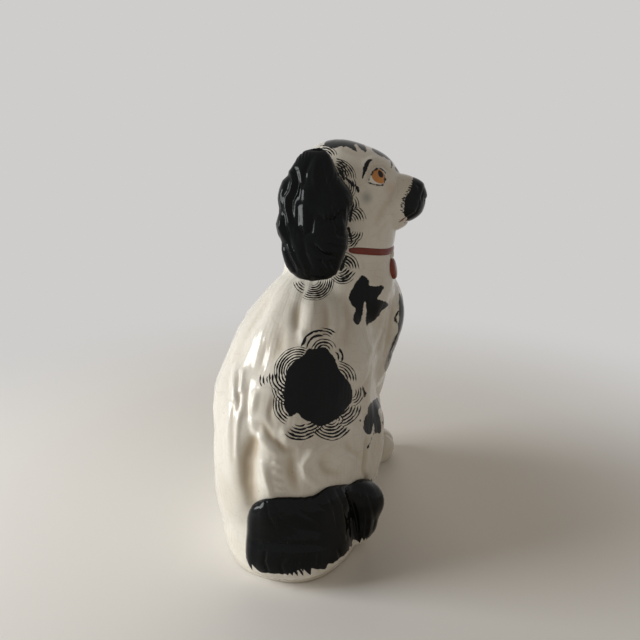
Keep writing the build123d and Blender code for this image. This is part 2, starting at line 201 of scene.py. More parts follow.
# Body halves: two shells of white earthenware, each pressed in its own mould and luted
# together on an upright seam, then lead glazed. Rump, haunches, chest, shoulder and neck
# run into each other, and locks of hair are moulded all over in low relief.
figure_size = np.array([146.0, 86.0, 230.0])
body_blend = 3.0
neck_seam_height = 172.04
base_thickness = 5.0
clay_wall = 4.5
rim_reach_long = (71.98, 69.93)
rim_reach_wide = (36.03, 44.98)
rim_height = 6.0
rim_squareness = 2.4
body_forms = {
    "rump": ((-0.185, 0.047, 0.275), (0.336, 0.488, 0.265), (0, -14, 0)),
    "back": ((-0.089, 0.023, 0.432), (0.315, 0.500, 0.272), (22, -10, 0)),
    "chest": ((0.151, -0.130, 0.500), (0.253, 0.430, 0.190), (10, 0, 0)),
    "neck": ((0.055, -0.174, 0.652), (0.185, 0.384, 0.165), (0, 0, 0)),
    "front_haunch": ((-0.050, -0.232, 0.238), (0.268, 0.308, 0.185), (22, 0, 0)),
    "back_haunch": ((-0.110, 0.190, 0.191), (0.274, 0.296, 0.196), (14, 0, 0)),
    "belly": ((0.151, -0.023, 0.200), (0.236, 0.360, 0.287), (0, 0, 0)),
    "shoulder": ((0.205, -0.245, 0.415), (0.171, 0.244, 0.183), (0, 0, 0)),
    "front_hind_paw": ((0.130, -0.300, 0.035), (0.150, 0.110, 0.048), (0, 0, 0)),
    "back_hind_paw": ((0.164, 0.360, 0.035), (0.192, 0.134, 0.052), (0, 0, 0)),
    "ruff": ((0.178, -0.384, 0.568), (0.146, 0.218, 0.126), (0, 0, 6)),
    "nape": ((0.055, -0.174, 0.809), (0.192, 0.384, 0.174), (0, 0, 0)),
}
# Moulded locks and hollows: angle about the body, height as a share of the figure's, half
# width as a share of its depth, half height as a share of its height, lean and rise
lock_relief = 2.8
moulded_locks = [
    (167, 0.287, 0.062, 0.09, 0, -0.75), (175, 0.27, 0.048, 0.05, -6, 0.41),
    (186, 0.278, 0.052, 0.046, 0, -0.41), (193, 0.3, 0.055, 0.06, -14, 0.49),
    (205, 0.28, 0.064, 0.044, 24, -0.3), (217, 0.296, 0.105, 0.052, 20, 0.3),
    (175, 0.372, 0.064, 0.034, 40, 0.34), (182, 0.609, 0.056, 0.044, 0, -0.56),
    (192, 0.622, 0.08, 0.05, 0, 0.34), (173, 0.57, 0.066, 0.034, 0, -0.26),
    (184, 0.545, 0.066, 0.036, 0, 0.22), (164, 0.525, 0.07, 0.044, 0, -0.22),
    (153, 0.46, 0.048, 0.062, 24, 0.3), (163, 0.425, 0.05, 0.07, 12, -0.34),
    (157, 0.35, 0.055, 0.075, 6, 0.3), (177, 0.44, 0.06, 0.046, 0, -0.22),
    (190, 0.47, 0.09, 0.05, 30, 0.26), (200, 0.4, 0.09, 0.046, -20, -0.22),
    (212, 0.596, 0.076, 0.052, -14, 0.3), (222, 0.59, 0.06, 0.048, -14, -0.22),
    (160, 0.62, 0.066, 0.046, 14, 0.26), (215, 0.48, 0.1, 0.055, -20, 0.4),
    (229, 0.42, 0.09, 0.05, -24, -0.35), (243, 0.5, 0.09, 0.055, -20, 0.45),
    (240, 0.33, 0.09, 0.055, 30, -0.4), (247, 0.2, 0.1, 0.06, 30, 0.45),
    (262, 0.41, 0.09, 0.045, -20, -0.4), (258, 0.56, 0.07, 0.052, -24, -0.4),
    (270, 0.32, 0.1, 0.045, 20, 0.7), (277, 0.49, 0.066, 0.06, -20, -0.45),
    (288, 0.57, 0.08, 0.056, -14, 0.5), (290, 0.4, 0.08, 0.056, -10, 0.45),
    (305, 0.49, 0.08, 0.056, 0, -0.45), (320, 0.58, 0.08, 0.056, 0, 0.5),
    (324, 0.42, 0.08, 0.056, 0, 0.45), (340, 0.51, 0.08, 0.056, 0, -0.45),
    (357, 0.59, 0.08, 0.056, 0, 0.5), (358, 0.43, 0.08, 0.056, 0, 0.45),
    (15, 0.51, 0.08, 0.056, 0, -0.45), (32, 0.59, 0.08, 0.056, 0, 0.5), (34, 0.42, 0.08, 0.056, 6, 0.45),
    (50, 0.5, 0.08, 0.056, 10, -0.45), (66, 0.58, 0.09, 0.056, 14, 0.45),
    (68, 0.4, 0.09, 0.056, 14, 0.45), (84, 0.49, 0.09, 0.056, 14, -0.4),
    (88, 0.29, 0.1, 0.056, -20, -0.4), (100, 0.58, 0.09, 0.056, 14, 0.45),
    (103, 0.4, 0.09, 0.056, 18, 0.45), (110, 0.2, 0.1, 0.06, -26, 0.45),
    (118, 0.49, 0.09, 0.056, 18, -0.4), (122, 0.31, 0.09, 0.056, -20, -0.4),
    (134, 0.58, 0.09, 0.056, 18, 0.45), (137, 0.4, 0.09, 0.056, 18, 0.45),
    (143, 0.22, 0.09, 0.06, -16, 0.4), (147, 0.53, 0.07, 0.046, 18, -0.35),
    (150, 0.29, 0.06, 0.06, -6, -0.35), (137, 0.105, 0.3, 0.082, 0, 2.6), (136, 0.27, 0.35, 0.11, 0, 0.5),
    (134, 0.435, 0.35, 0.065, 0, 1.8), (128, 0.62, 0.3, 0.055, 0, -1.3),
]
body_axis = np.array(
    [(0.0, -0.027, -0.023), (0.26, -0.055, -0.023), (0.52, 0.014, -0.023), (0.72, 0.055, -0.023)]
)


def form_axes(angles):
    """rows are the directions of a form that is rolled, then leaned, then turned"""
    lean, turn, roll = np.radians(angles)
    x, y, z = np.eye(3)
    y, z = y * np.cos(roll) + z * np.sin(roll), z * np.cos(roll) - y * np.sin(roll)
    x, z = x * np.cos(lean) + z * np.sin(lean), z * np.cos(lean) - x * np.sin(lean)
    x, y = x * np.cos(turn) - y * np.sin(turn), y * np.cos(turn) + x * np.sin(turn)
    return np.stack([x, y, z], -1)


def exit_distance(origins, rays, form):
    """where rays leave an ellipsoid: the larger root of |start + t step| = 1 in its radii"""
    centre, radii, angles = form
    into_form = form_axes(angles) / (np.array(radii) * figure_size)[:, None]
    start = (origins - np.array(centre) * figure_size) @ into_form.T
    step = rays @ into_form.T
    a = (step**2).sum(-1)
    b = (start * step).sum(-1)
    inside = b**2 - a * ((start**2).sum(-1) - 1)
    return np.where(inside > 0, (np.sqrt(np.maximum(inside, 0)) - b) / a, -np.inf)


def blended(distances, blend):
    """soft maximum: the longest plus blend times the log of the sum of exp(difference / blend)"""
    distances = np.stack(distances)
    longest = distances.max(0)
    return longest + blend * np.log(np.exp((distances - longest) / blend).sum(0))


def rim_distance(angle, height):
    """reach of the foot rim: a superellipse that narrows a little above and below its height"""
    along = np.where(np.cos(angle) > 0, rim_reach_long[1], rim_reach_long[0])
    aside = np.where(np.sin(angle) > 0, rim_reach_wide[1], rim_reach_wide[0])
    reach = (
        np.abs(np.cos(angle) / along) ** rim_squareness + np.abs(np.sin(angle) / aside) ** rim_squareness
    ) ** (-1 / rim_squareness)
    above = np.maximum(height / rim_height - 1, 0)
    below = np.maximum(1 - height / rim_height, 0)
    return reach - 1.2 * above**1.4 - 0.7 * below**2


def axis_at(height, axis=body_axis):
    """point of an upright axis at each height, by straight lines between its rows"""
    share = np.asarray(height) / figure_size[2]
    x = np.interp(share, axis[:, 0], axis[:, 1]) * figure_size[0]
    y = np.interp(share, axis[:, 0], axis[:, 2]) * figure_size[1]
    return np.stack([x, y, share * figure_size[2]], -1)


def lock_rise(angle, height, reach):
    """rise of the moulded hair: for each lock its rise times exp(-(across / width)^2 - (along / height)^2)"""
    rise = 0.0 * reach
    for middle, middle_height, width, tall, lean, lock in moulded_locks:
        round_way = ((angle - np.radians(middle) + np.pi) % (2 * np.pi) - np.pi) * reach
        above = height - middle_height * figure_size[2]
        across = round_way * np.cos(np.radians(lean)) + above * np.sin(np.radians(lean))
        along = above * np.cos(np.radians(lean)) - round_way * np.sin(np.radians(lean))
        spread = (across / (width * figure_size[1])) ** 2 + (along / (tall * figure_size[2])) ** 2
        rise = rise + lock * lock_relief * np.exp(-spread)
    return rise


def body_reach(angle, height):
    """distance from the body's axis to its surface: soft maximum over the forms and the rim, and the locks"""
    angle, height = np.broadcast_arrays(angle, height)
    distances = [exit_distance(axis_at(height), level_rays(angle), form) for form in body_forms.values()]
    reach = blended(distances + [rim_distance(angle, height)], body_blend)
    return reach + lock_rise(angle, height, reach)


def body_points(angle, height, wall=0.0):
    """surface of the body, or of its hollow, at angles about its axis and heights"""
    angle, height = np.broadcast_arrays(angle, height)
    return axis_at(height) + (body_reach(angle, height) - wall)[..., None] * level_rays(angle)


def outward(points):
    """unit normals of a grid whose rows climb and whose columns run round: column step x row step"""
    rows = np.gradient(points, axis=0)
    columns = np.gradient(points, axis=1)
    columns[:, 0] = columns[:, -1] = (points[:, 1] - points[:, -2]) / 2
    normals = np.cross(columns, rows)
    return normals / np.maximum(np.linalg.norm(normals, axis=-1, keepdims=True), 1e-9)


def photo_place(points):
    """pixel of a point: middle pixel plus focal length times its sideways and upward share of depth"""
    offset = points - camera_eye
    depth = offset @ camera_forward
    sideways = focal_pixels * (offset @ camera_right) / depth
    upward = focal_pixels * (offset @ camera_up) / depth
    return np.stack([middle_pixel[0] + sideways, middle_pixel[1] - upward], -1)


def ripple(points, wavelength, seed):
    """smooth random field of about -1 to 1: seven plane waves of one length, added"""
    random = np.random.default_rng(seed)
    total = 0.0
    for direction, phase in zip(random.normal(size=(7, 3)), random.uniform(0, 2 * np.pi, 7)):
        direction = direction / np.linalg.norm(direction)
        total = total + np.sin(points @ direction * (2 * np.pi / wavelength) + phase)
    return total / 4


def smooth_step(value, low, high):
    """0 below low, 1 above high, and 3s^2 - 2s^3 between"""
    share = np.clip((value - low) / (high - low), 0, 1)
    return share * share * (3 - 2 * share)


def line_gap(places, line):
    """distance from a line through points, and the share of the line at which its nearest point lies"""
    line = np.asarray(line, float)
    gap = np.full(places.shape[:-1], np.inf)
    share = np.zeros(places.shape[:-1])
    for index, (start, end) in enumerate(zip(line, line[1:])):
        run = end - start
        part = np.clip(((places - start) @ run) / (run @ run), 0, 1)
        distance = np.linalg.norm(places - start - part[..., None] * run, axis=-1)
        nearer = distance < gap
        gap = np.where(nearer, distance, gap)
        share = np.where(nearer, (index + part) / (len(line) - 1), share)
    return gap, share


def patch_edge(places, outline):
    """signed distance from a closed outline, positive inside: a level ray crosses it an odd number of times.
    Each corner is first cut at a quarter of its two sides, which rounds the outline as a brush does"""
    outline = np.asarray(outline, float)
    following = np.roll(outline, -1, axis=0)
    cut_corners = np.stack([0.75 * outline + 0.25 * following, 0.25 * outline + 0.75 * following], 1)
    closed = cut_corners.reshape(-1, 2)
    closed = np.concatenate([closed, closed[:1]])
    gap, _ = line_gap(places, closed)
    inside = np.zeros(places.shape[:-1], bool)
    for start, end in zip(closed, closed[1:]):
        spans = (start[1] > places[..., 1]) != (end[1] > places[..., 1])
        rise = end[1] - start[1] if end[1] != start[1] else 1e-9
        crossing = start[0] + (places[..., 1] - start[1]) / rise * (end[0] - start[0])
        inside ^= spans & (places[..., 0] < crossing)
    return np.where(inside, gap, -gap)


def stroke_edge(places, line, widths):
    """brush stroke: half its width, which changes along it by straight lines, less the gap from its middle"""
    gap, share = line_gap(places, line)
    return np.interp(share, np.linspace(0, 1, len(widths)), widths) / 2 - gap


def ridges(places, table):
    """low relief: each line adds its height times exp(-(gap / width)^2), fading to its two ends"""
    total = np.zeros(places.shape[:-1])
    for height, width, line in table:
        gap, share = line_gap(places, line)
        ends = 1 if len(line) < 3 else 0.35 + 0.65 * np.sin(np.pi * np.clip(share, 0.02, 0.98)) ** 0.5
        total += height * ends * np.exp(-((gap / width) ** 2))
    return total


def lock_field(across, along, width, length, seed):
    """tufts of hair, 0 to 1: pointed drops on a staggered grid, turned at random; the highest shows"""
    chance = np.random.default_rng(seed).random((61, 61, 3))
    highest = np.zeros(across.shape)
    for column_step in (-1, 0, 1):
        for row_step in (-1, 0, 1):
            column = np.floor(across / width) + column_step
            stagger = 0.5 * (column % 2)
            row = np.floor(along / length + stagger) + row_step
            luck = chance[column.astype(int) % 61, row.astype(int) % 61]
            aside = across - (column + 0.5 + 0.4 * (luck[..., 0] - 0.5)) * width
            above = along - (row + 0.5 - stagger + 0.3 * (luck[..., 1] - 0.5)) * length
            lean = 1.1 * (luck[..., 2] - 0.5)
            t = (aside * np.cos(lean) + above * np.sin(lean)) / (0.66 * width)
            s = (above * np.cos(lean) - aside * np.sin(lean)) / (0.78 * length)
            round_off = np.clip(1 - s**2, 0, 1)
            half = np.sqrt(round_off) * (0.62 + 0.38 * s) + 0.02
            drop = np.clip(1 - (t / half) ** 2, 0, 1) ** 0.8 * round_off
            drop *= 0.88 + 0.12 * np.cos(9.0 * t / (half + 0.4) + 1.5 * s)
            highest = np.maximum(highest, drop)
    return highest


# Relief of the back and haunch, as lines in the photograph's frame: height in millimetres,
# width in pixels, then the line
body_relief = [
    (-0.9, 4, [(298, 305), (297, 318), (298, 332)]),
    (0.7, 6, [(313, 300), (310, 318), (305, 330)]),
    (-0.6, 5, [(283, 330), (280, 348), (272, 360)]),
    (0.8, 4, [(301, 333), (303, 340)]),
    (-0.5, 4, [(266, 345), (262, 360), (258, 372)]),
    (1, 3.2, [(236, 366), (234, 380), (234, 398)]),
    (0.8, 2.4, [(243, 372), (240, 390)]),
    (-0.9, 2.6, [(239, 372), (238, 390), (239, 410)]),
    (1.2, 3.2, [(256, 392), (254, 402), (252, 413)]),
    (-0.7, 3, [(249, 384), (247, 402), (248, 420), (251, 436)]),
    (0.9, 2.6, [(241, 408), (238, 422), (237, 438), (236, 456)]),
    (0.6, 2.6, [(230, 410), (228, 440), (229, 470)]),
    (-0.6, 2.6, [(233, 404), (232, 430), (233, 460)]),
    (-2, 7.5, [(252, 444), (247, 462), (247, 482), (252, 502)]),
    (-1, 4, [(258, 424), (254, 440), (249, 456)]),
    (1.2, 4, [(250, 420), (256, 434), (266, 446), (278, 454)]),
    (-1.2, 3.4, [(264, 424), (270, 436), (282, 447)]),
    (1.6, 5, [(285, 433), (287, 438)]),
    (-0.8, 3, [(278, 442), (284, 450), (294, 450)]),
    (1.5, 3.6, [(262, 464), (266, 478), (272, 497)]),
    (0.8, 2.2, [(275, 463), (280, 465)]),
    (0.8, 2.2, [(276, 472), (281, 474)]),
    (0.8, 2.2, [(276, 481), (281, 483)]),
    (0.8, 2.2, [(278, 490), (283, 491)]),
    (-1.2, 4.4, [(291, 456), (291, 472), (296, 488)]),
    (1.6, 3.4, [(326, 444), (311, 453), (303, 465), (306, 476), (318, 486)]),
    (-1, 4, [(322, 462), (326, 470), (336, 474)]),
    (0.8, 5, [(336, 456), (350, 460), (356, 470)]),
    (-0.6, 3.4, [(346, 444), (352, 452), (360, 458)]),
    (-1.2, 2.4, [(367, 440), (366, 456), (364, 470), (366, 482)]),
    (0.7, 4, [(288, 392), (262, 388)]),
    (-0.8, 3.2, [(274, 398), (270, 412), (272, 424)]),
    (0.5, 4, [(336, 306), (338, 324), (333, 338)]),
    (-0.8, 4, [(326, 306), (326, 322), (322, 336)]),
    (-0.7, 4, [(344, 300), (347, 322), (345, 342)]),
    (0.5, 5, [(276, 306), (266, 322), (256, 338)]),
    (-0.6, 4, [(268, 300), (258, 318), (248, 334)]),
    (0.6, 5, [(357, 345), (362, 360), (358, 378)]),
    (-0.7, 2.4, [(391, 292), (392, 312), (388, 336), (384, 356)]),
    (0.7, 3, [(397, 292), (399, 312), (396, 332)]),
    (-0.7, 2, [(384, 330), (378, 350), (371, 368)]),
    (0.6, 2.6, [(378, 332), (372, 350), (365, 366)]),
    (-0.7, 2.6, [(372, 370), (366, 384), (361, 398)]),
]

half_columns = 256
body_rows = 224
body_angle = np.linspace(0, 2 * np.pi, 2 * half_columns + 1)
body_height = np.linspace(base_thickness, neck_seam_height, body_rows + 1)[:, None]
body_grid = body_points(body_angle, body_height)
body_normal = outward(body_grid)
body_place = photo_place(body_grid)
to_camera = camera_eye - body_grid
to_camera /= np.linalg.norm(to_camera, axis=-1, keepdims=True)
body_facing = (body_normal * to_camera).sum(-1)
body_shown = smooth_step(body_facing, 0.02, 0.25)

mean_reach = 58.0
tuft_width = 11.4
tuft_length = 19.0
seen_tuft_relief = 0.20
unseen_tuft_relief = 0.60
streak_relief = 0.05
streak_pitch = 2.6
relief_start = (7, 16)
relief_end = 165
body_around = body_angle * mean_reach + 0 * body_height
body_swayed = body_around + 2.5 * ripple(body_grid, 34, 3)
body_hair = lock_field(body_swayed, body_height + 0 * body_around, tuft_width, tuft_length, 5)
body_streak = np.sin(body_around * 2 * np.pi / streak_pitch + 2.4 * ripple(body_grid, 26, 8))
body_streak *= np.clip(0.5 + ripple(body_grid, 22, 9), 0, 1)
body_relief_height = unseen_tuft_relief * (1 - body_shown) * (body_hair - 0.35)
body_relief_height += body_shown * (seen_tuft_relief * (body_hair - 0.4) + ridges(body_place, body_relief))
body_relief_height += streak_relief * body_streak
body_fade = smooth_step(body_height, *relief_start)
body_fade = body_fade * smooth_step(-body_height, -neck_seam_height, -relief_end)
body_relief_height = body_relief_height * body_fade
body_surface = body_grid + body_relief_height[..., None] * body_normal
body_inner = body_points(body_angle[::4], body_height[::4], clay_wall)


def point_numbers(grid, first=0):
    """number of each point of a grid in its mesh"""
    return first + np.arange(grid[..., 0].size).reshape(grid.shape[:2])


def quads(ids):
    """faces of a grid of point numbers, outward where columns x rows points out"""
    return np.stack([ids[:-1, :-1], ids[:-1, 1:], ids[1:, 1:], ids[1:, :-1]], -1).reshape(-1, 4)


def rim_faces(outer, inner):
    """faces between a border of 4n + 1 points and an inner border of n + 1 points"""
    steps = np.arange(len(inner) - 1)
    columns = [outer[4 * steps + part] for part in range(5)]
    return np.stack(columns + [inner[steps + 1], inner[steps]], -1)


crease_degrees = 55


def make_piece(name, points, faces, marks=None):
    """object of points in millimetres and arrays of faces, with values or vectors kept at its points"""
    faces = [np.asarray(group) for group in faces if len(group)]
    used, corners = np.unique(np.concatenate([group.ravel() for group in faces]), return_inverse=True)
    sides = np.concatenate([np.full(len(group), group.shape[1]) for group in faces])
    mesh = bpy.data.meshes.new(name)
    mesh.vertices.add(len(used))
    mesh.vertices.foreach_set("co", (points[used] * millimetre).astype(np.float32).ravel())
    mesh.loops.add(len(corners))
    mesh.loops.foreach_set("vertex_index", corners.astype(np.int32).ravel())
    mesh.polygons.add(len(sides))
    mesh.polygons.foreach_set("loop_start", np.concatenate([[0], np.cumsum(sides)[:-1]]).astype(np.int32))
    mesh.update(calc_edges=True)
    mesh.validate()
    mesh.shade_smooth()
    mesh.set_sharp_from_angle(angle=np.radians(crease_degrees))
    for mark, values in (marks or {}).items():
        values = np.asarray(values, np.float32)[used]
        kind = "FLOAT" if values.ndim == 1 else "FLOAT_VECTOR"
        layer = mesh.attributes.new(mark, kind, "POINT")
        layer.data.foreach_set("value" if kind == "FLOAT" else "vector", values.ravel())
    piece = bpy.data.objects.new(name, mesh)
    bpy.context.scene.collection.objects.link(piece)
    return piece


# Painted patches of the body, as outlines in the photograph's frame
rump_patch = [
    (303.8, 356), (308, 348.2), (314, 349.4), (320.2, 347), (327.4, 348.2), (332.3, 355.5), (336, 361.5),
    (338.3, 368.8), (344.4, 376), (349.2, 382), (352.3, 389.4), (352.3, 398), (350.5, 404), (345.6, 410),
    (340.8, 416), (333.5, 421), (327.4, 424.5), (319, 427), (313, 423.3), (308, 421), (302, 418.5),
    (297.7, 412.4), (294.7, 414.8), (289.8, 417.3), (287.4, 412.4), (285, 405), (283.8, 395.5),
    (284.4, 385.8), (285.6, 377.3), (287.4, 368.8), (292.3, 362.7), (298.3, 358.5),
]
shoulder_patch = [
    (363, 275), (367.5, 278), (369.2, 283), (368.8, 286), (377, 286.5), (382, 285), (384.5, 288),
    (380, 294), (376.8, 299), (380, 300), (385.6, 301.5), (389.8, 304.5), (384, 309), (380.8, 312),
    (377, 318), (372.5, 322), (368.5, 324), (366.8, 327.4), (365.6, 321), (366.4, 315), (366.5, 308),
    (365.4, 300), (363.4, 306), (362.4, 313), (361.2, 321), (357.4, 325.6), (354, 322), (353, 317),
    (356, 309), (353, 307), (350, 302), (348.4, 296), (352, 289), (356, 282), (360, 277),
]
thigh_patch = [
    (377.9, 397.2), (380.2, 400.7), (383.6, 404.5), (382.8, 406.8), (379, 408.3), (377.9, 412),
    (379.8, 416.7), (381.7, 426), (380.6, 433.6), (377.5, 432.8), (375.2, 434.6), (373.6, 428),
    (373.4, 420.5), (371.6, 433), (368.7, 434.8), (365, 432.4), (362.8, 427.4), (364.3, 418.3),
    (367.3, 413.7), (368.5, 405.2), (373.6, 400),
]
ruff_patch = [
    (398, 292), (401.5, 296), (406, 304), (407, 314), (404, 326), (400, 334), (397, 327), (398.4, 314),
    (398, 303),
]
ruff_wash = [
    (399, 331), (403.5, 332), (403, 342), (400, 352), (397, 361), (393, 371), (386, 373), (384, 368),
    (386.5, 358), (390.5, 347), (394, 337),
]
body_strokes = [
    ([(373.8, 433), (371, 440), (368.2, 448)], [0.6, 0.9, 1.4]),
    ([(363.5, 388), (365.5, 393), (365, 397)], [1.2, 2.4, 1.4]),
    ([(383.4, 412), (384, 418), (383, 424)], [1.8, 2.8, 1.2]),
    ([(360, 420.2), (360.2, 421)], [1.4, 1.4]),
    ([(346, 257), (343, 264), (341, 270)], [2.6, 4.2, 2.6]),
    ([(371.4, 480), (371.3, 484)], [2, 2.6]),
    ([(400, 288), (402, 292), (401.5, 296)], [0.8, 1.2, 1.4]),
    ([(404.5, 288.5), (404, 292), (402.5, 295.5)], [0.8, 1.2, 1.4]),
    ([(397.6, 311), (395, 317), (395, 321), (398.5, 325)], [1, 1.6, 1.6, 1.2]),
    ([(400, 312), (398.6, 316), (398.6, 320)], [0.6, 0.9, 0.7]),
    ([(399.4, 329), (395, 340), (390.5, 351), (388, 362)], [1.4, 1.8, 1.6, 0.8]),
    ([(398, 336), (394, 348), (390, 358)], [1, 1.8, 1]),
    ([(400, 334), (397.6, 345), (393.5, 357), (389, 369)], [2.4, 4.2, 3.6, 1.6]),
    ([(396.6, 334), (392.6, 344), (390, 352)], [0.8, 1, 0.6]),
]
# Combed strokes: the centre of each fan, its direction from the right anticlockwise in
# degrees, the radius of its first and last line, how many lines, and half its spread
body_combs = [
    (299, 372, 133, 5, 25, 9, 62), (291, 375, 215, 6, 22, 6, 40), (292, 387, 222, 8, 20, 5, 40),
    (276, 378, 190, 9, 16, 3, 22), (296, 404, 200, 9, 23, 6, 42), (300, 418, 268, 8, 22, 5, 42),
    (307, 416, 300, 8, 18, 4, 36), (331, 418, 272, 6, 22, 6, 58), (338, 419.5, 60, 1.5, 5, 2, 150),
    (338, 404, 318, 8, 23, 6, 38), (350, 392, 335, 6, 14, 4, 52), (337, 380, 40, 8, 19, 5, 44),
    (329, 358, 15, 9, 14, 2, 30), (324, 352, 95, 4, 13, 4, 75), (321.4, 351.5, 125, 16, 21, 2, 42),
    (324, 343, 72, 9, 15, 3, 30),
]
ear_combs = [
    (334, 172, 30, 6, 14, 4, 50), (347, 205, 350, 4, 12, 4, 55), (347.5, 238, 330, 4, 11, 4, 55),
    (338, 262, 300, 8, 20, 5, 30), (324.3, 158.2, 62, 5, 13, 4, 48), (336.5, 178, 44, 8, 19, 6, 46),
    (341, 187, 352, 4, 15, 6, 40), (346, 224, 45, 5, 21, 7, 32), (350, 231, 300, 3, 13, 5, 55),
    (342.5, 269, 42, 5, 16.5, 5, 42), (342.5, 270.5, 268, 4, 13.5, 5, 56),
    (314, 280.5, 300, 5, 20, 8, 65), (306, 280, 225, 5, 13, 4, 35),
]


mark_reach = 9.0


def within_reach(distances):
    """signed distances in pixels, cut to what the marks keep"""
    return np.clip(distances, -mark_reach, mark_reach)


def comb_fans(places, table):
    """three layers of fans: the line's number at each point, and how far inside its fan it is in pixels"""
    number = np.zeros(places.shape[:-1] + (3,))
    edge = np.full(places.shape[:-1] + (3,), -mark_reach)
    for index, (across, down, direction, first, last, lines, spread) in enumerate(table):
        offset = places - np.array([across, down])
        radius = np.hypot(offset[..., 0], offset[..., 1])
        angle = np.arctan2(-offset[..., 1], offset[..., 0]) - np.radians(direction)
        angle = np.abs((angle + np.pi) % (2 * np.pi) - np.pi)
        pitch = (last - first) / (lines - 1)
        inside = np.minimum(radius - first + pitch / 2, last - radius + pitch / 2)
        inside = np.minimum(inside, (np.radians(spread) - angle) * np.maximum(radius, 1))
        layer = index % 3
        nearer = inside > edge[..., layer]
        number[..., layer] = np.where(nearer, (radius - first) / pitch, number[..., layer])
        edge[..., layer] = np.where(nearer, inside, edge[..., layer])
    return number, edge


def most_inside(places, outlines, strokes):
    """greatest signed distance over all patches and strokes"""
    edges = [patch_edge(places, outline) for outline in outlines]
    edges += [stroke_edge(places, line, widths) for line, widths in strokes]
    return np.max(np.stack(edges), axis=0)


body_ink = np.full(body_facing.shape, -mark_reach)
body_comb_number = np.zeros(body_facing.shape + (3,))
body_comb_edge = np.full(body_facing.shape + (3,), -mark_reach)
seen = body_facing > 0.0
body_patches = [rump_patch, shoulder_patch, thigh_patch, ruff_patch]
body_ink[seen] = most_inside(body_place[seen], body_patches, body_strokes)
body_comb_number[seen], body_comb_edge[seen] = comb_fans(body_place[seen], body_combs + ear_combs)
# depth of the relief's hollows, where the glaze is painted darker and browner: pooled glaze and painted shade
body_hollow_shade = np.clip(-body_relief_height / 1.2, -0.6, 1.2)

# Painted patches and combed strokes of the other sides, in level views of pixel size: from the
# face side, from the chest and from the back
pixel_length = 0.57
face_side_patch = [
    (52, 168), (62, 160), (76, 158), (88, 166), (92, 180), (86, 194), (90, 206), (80, 214), (66, 210),
    (58, 198), (50, 186),
]
face_side_combs = [
    (60, 172, 140, 6, 20, 6, 55), (84, 170, 50, 6, 20, 6, 50), (86, 200, 330, 6, 18, 5, 50),
    (64, 204, 235, 6, 20, 6, 55),
]
chest_patch = [
    (-6, 128), (6, 120), (20, 122), (30, 132), (32, 148), (24, 160), (28, 172), (16, 180), (2, 176),
    (-8, 162), (-12, 144),
]
chest_combs = [
    (0, 130, 140, 6, 19, 6, 55), (24, 134, 40, 6, 19, 6, 50), (22, 166, 325, 6, 18, 5, 50),
    (0, 168, 230, 6, 19, 6, 55),
]
back_patch = [
    (-30, 150), (-18, 140), (0, 138), (14, 146), (20, 160), (16, 176), (22, 190), (10, 202),
    (-8, 206), (-24, 198), (-34, 184), (-28, 168),
]
back_haunch_patch = [(48, 260), (60, 252), (76, 254), (86, 266), (84, 282), (72, 292), (56, 290), (46, 278)]
back_combs = [
    (-22, 152, 140, 6, 22, 7, 55), (8, 152, 45, 6, 22, 7, 55), (12, 192, 325, 6, 20, 6, 50),
    (-20, 194, 225, 6, 22, 7, 55), (54, 262, 140, 5, 18, 5, 55), (78, 264, 40, 5, 18, 5, 50),
    (76, 284, 320, 5, 17, 5, 50), (56, 284, 225, 5, 18, 5, 55),
]
side_views = [
    ((1, 0, 0), (0, -1, 0), [face_side_patch], face_side_combs),
    ((0, 1, 0), (1, 0, 0), [chest_patch], chest_combs),
    ((-1, 0, 0), (0, 1, 0), [back_patch, back_haunch_patch], back_combs),
]


def side_place(points, across):
    """place in an upright view: how far along a level direction, and how far below the top"""
    return np.stack([points @ np.array(across), figure_size[2] - points[..., 2]], -1) / pixel_length


unseen = smooth_step(-body_facing, 0.02, 0.12)
for across, facing_way, outlines, fans in side_views:
    turned = (body_normal @ np.array(facing_way) > 0.25) & (unseen > 0)
    sway = np.stack([ripple(body_grid[turned], 17, 51), ripple(body_grid[turned], 15, 52)], -1)
    places = side_place(body_grid[turned], across) + 1.5 * sway
    body_ink[turned] = np.maximum(body_ink[turned], most_inside(places, outlines, []))
    fan_number, fan_edge = comb_fans(places, fans)
    nearer = fan_edge > body_comb_edge[turned]
    body_comb_number[turned] = np.where(nearer, fan_number, body_comb_number[turned])
    body_comb_edge[turned] = np.where(nearer, fan_edge, body_comb_edge[turned])

body_marks = {
    "ink": within_reach(body_ink),
    "comb_number": body_comb_number,
    "comb_edge": within_reach(body_comb_edge),
    "hollow": body_hollow_shade,
    "grey_wash": np.full(body_facing.shape, -mark_reach),
}
body_marks["grey_wash"][seen] = within_reach(patch_edge(body_place[seen], ruff_wash))


def shell_piece(name, outer, inner, marks):
    """closed shell of an outer grid, an inner grid of every fourth point and the rims between them"""
    outer_ids = point_numbers(outer)
    inner_ids = point_numbers(inner, outer_ids.size)
    faces = [
        quads(outer_ids),
        quads(inner_ids)[:, ::-1],
        rim_faces(outer_ids[-1], inner_ids[-1]),
        rim_faces(outer_ids[0], inner_ids[0])[:, ::-1],
        rim_faces(outer_ids[:, 0], inner_ids[:, 0]),
        rim_faces(outer_ids[:, -1], inner_ids[:, -1])[:, ::-1],
    ]
    points = np.concatenate([outer.reshape(-1, 3), inner.reshape(-1, 3)])
    kept = {}
    for mark, values in marks.items():
        bare = np.full(inner.shape[:2] + values.shape[2:], 0.0 if mark == "hollow" else -mark_reach)
        kept[mark] = np.concatenate([each.reshape(-1, *values.shape[2:]) for each in (values, bare)])
    return make_piece(name, points, faces, kept)


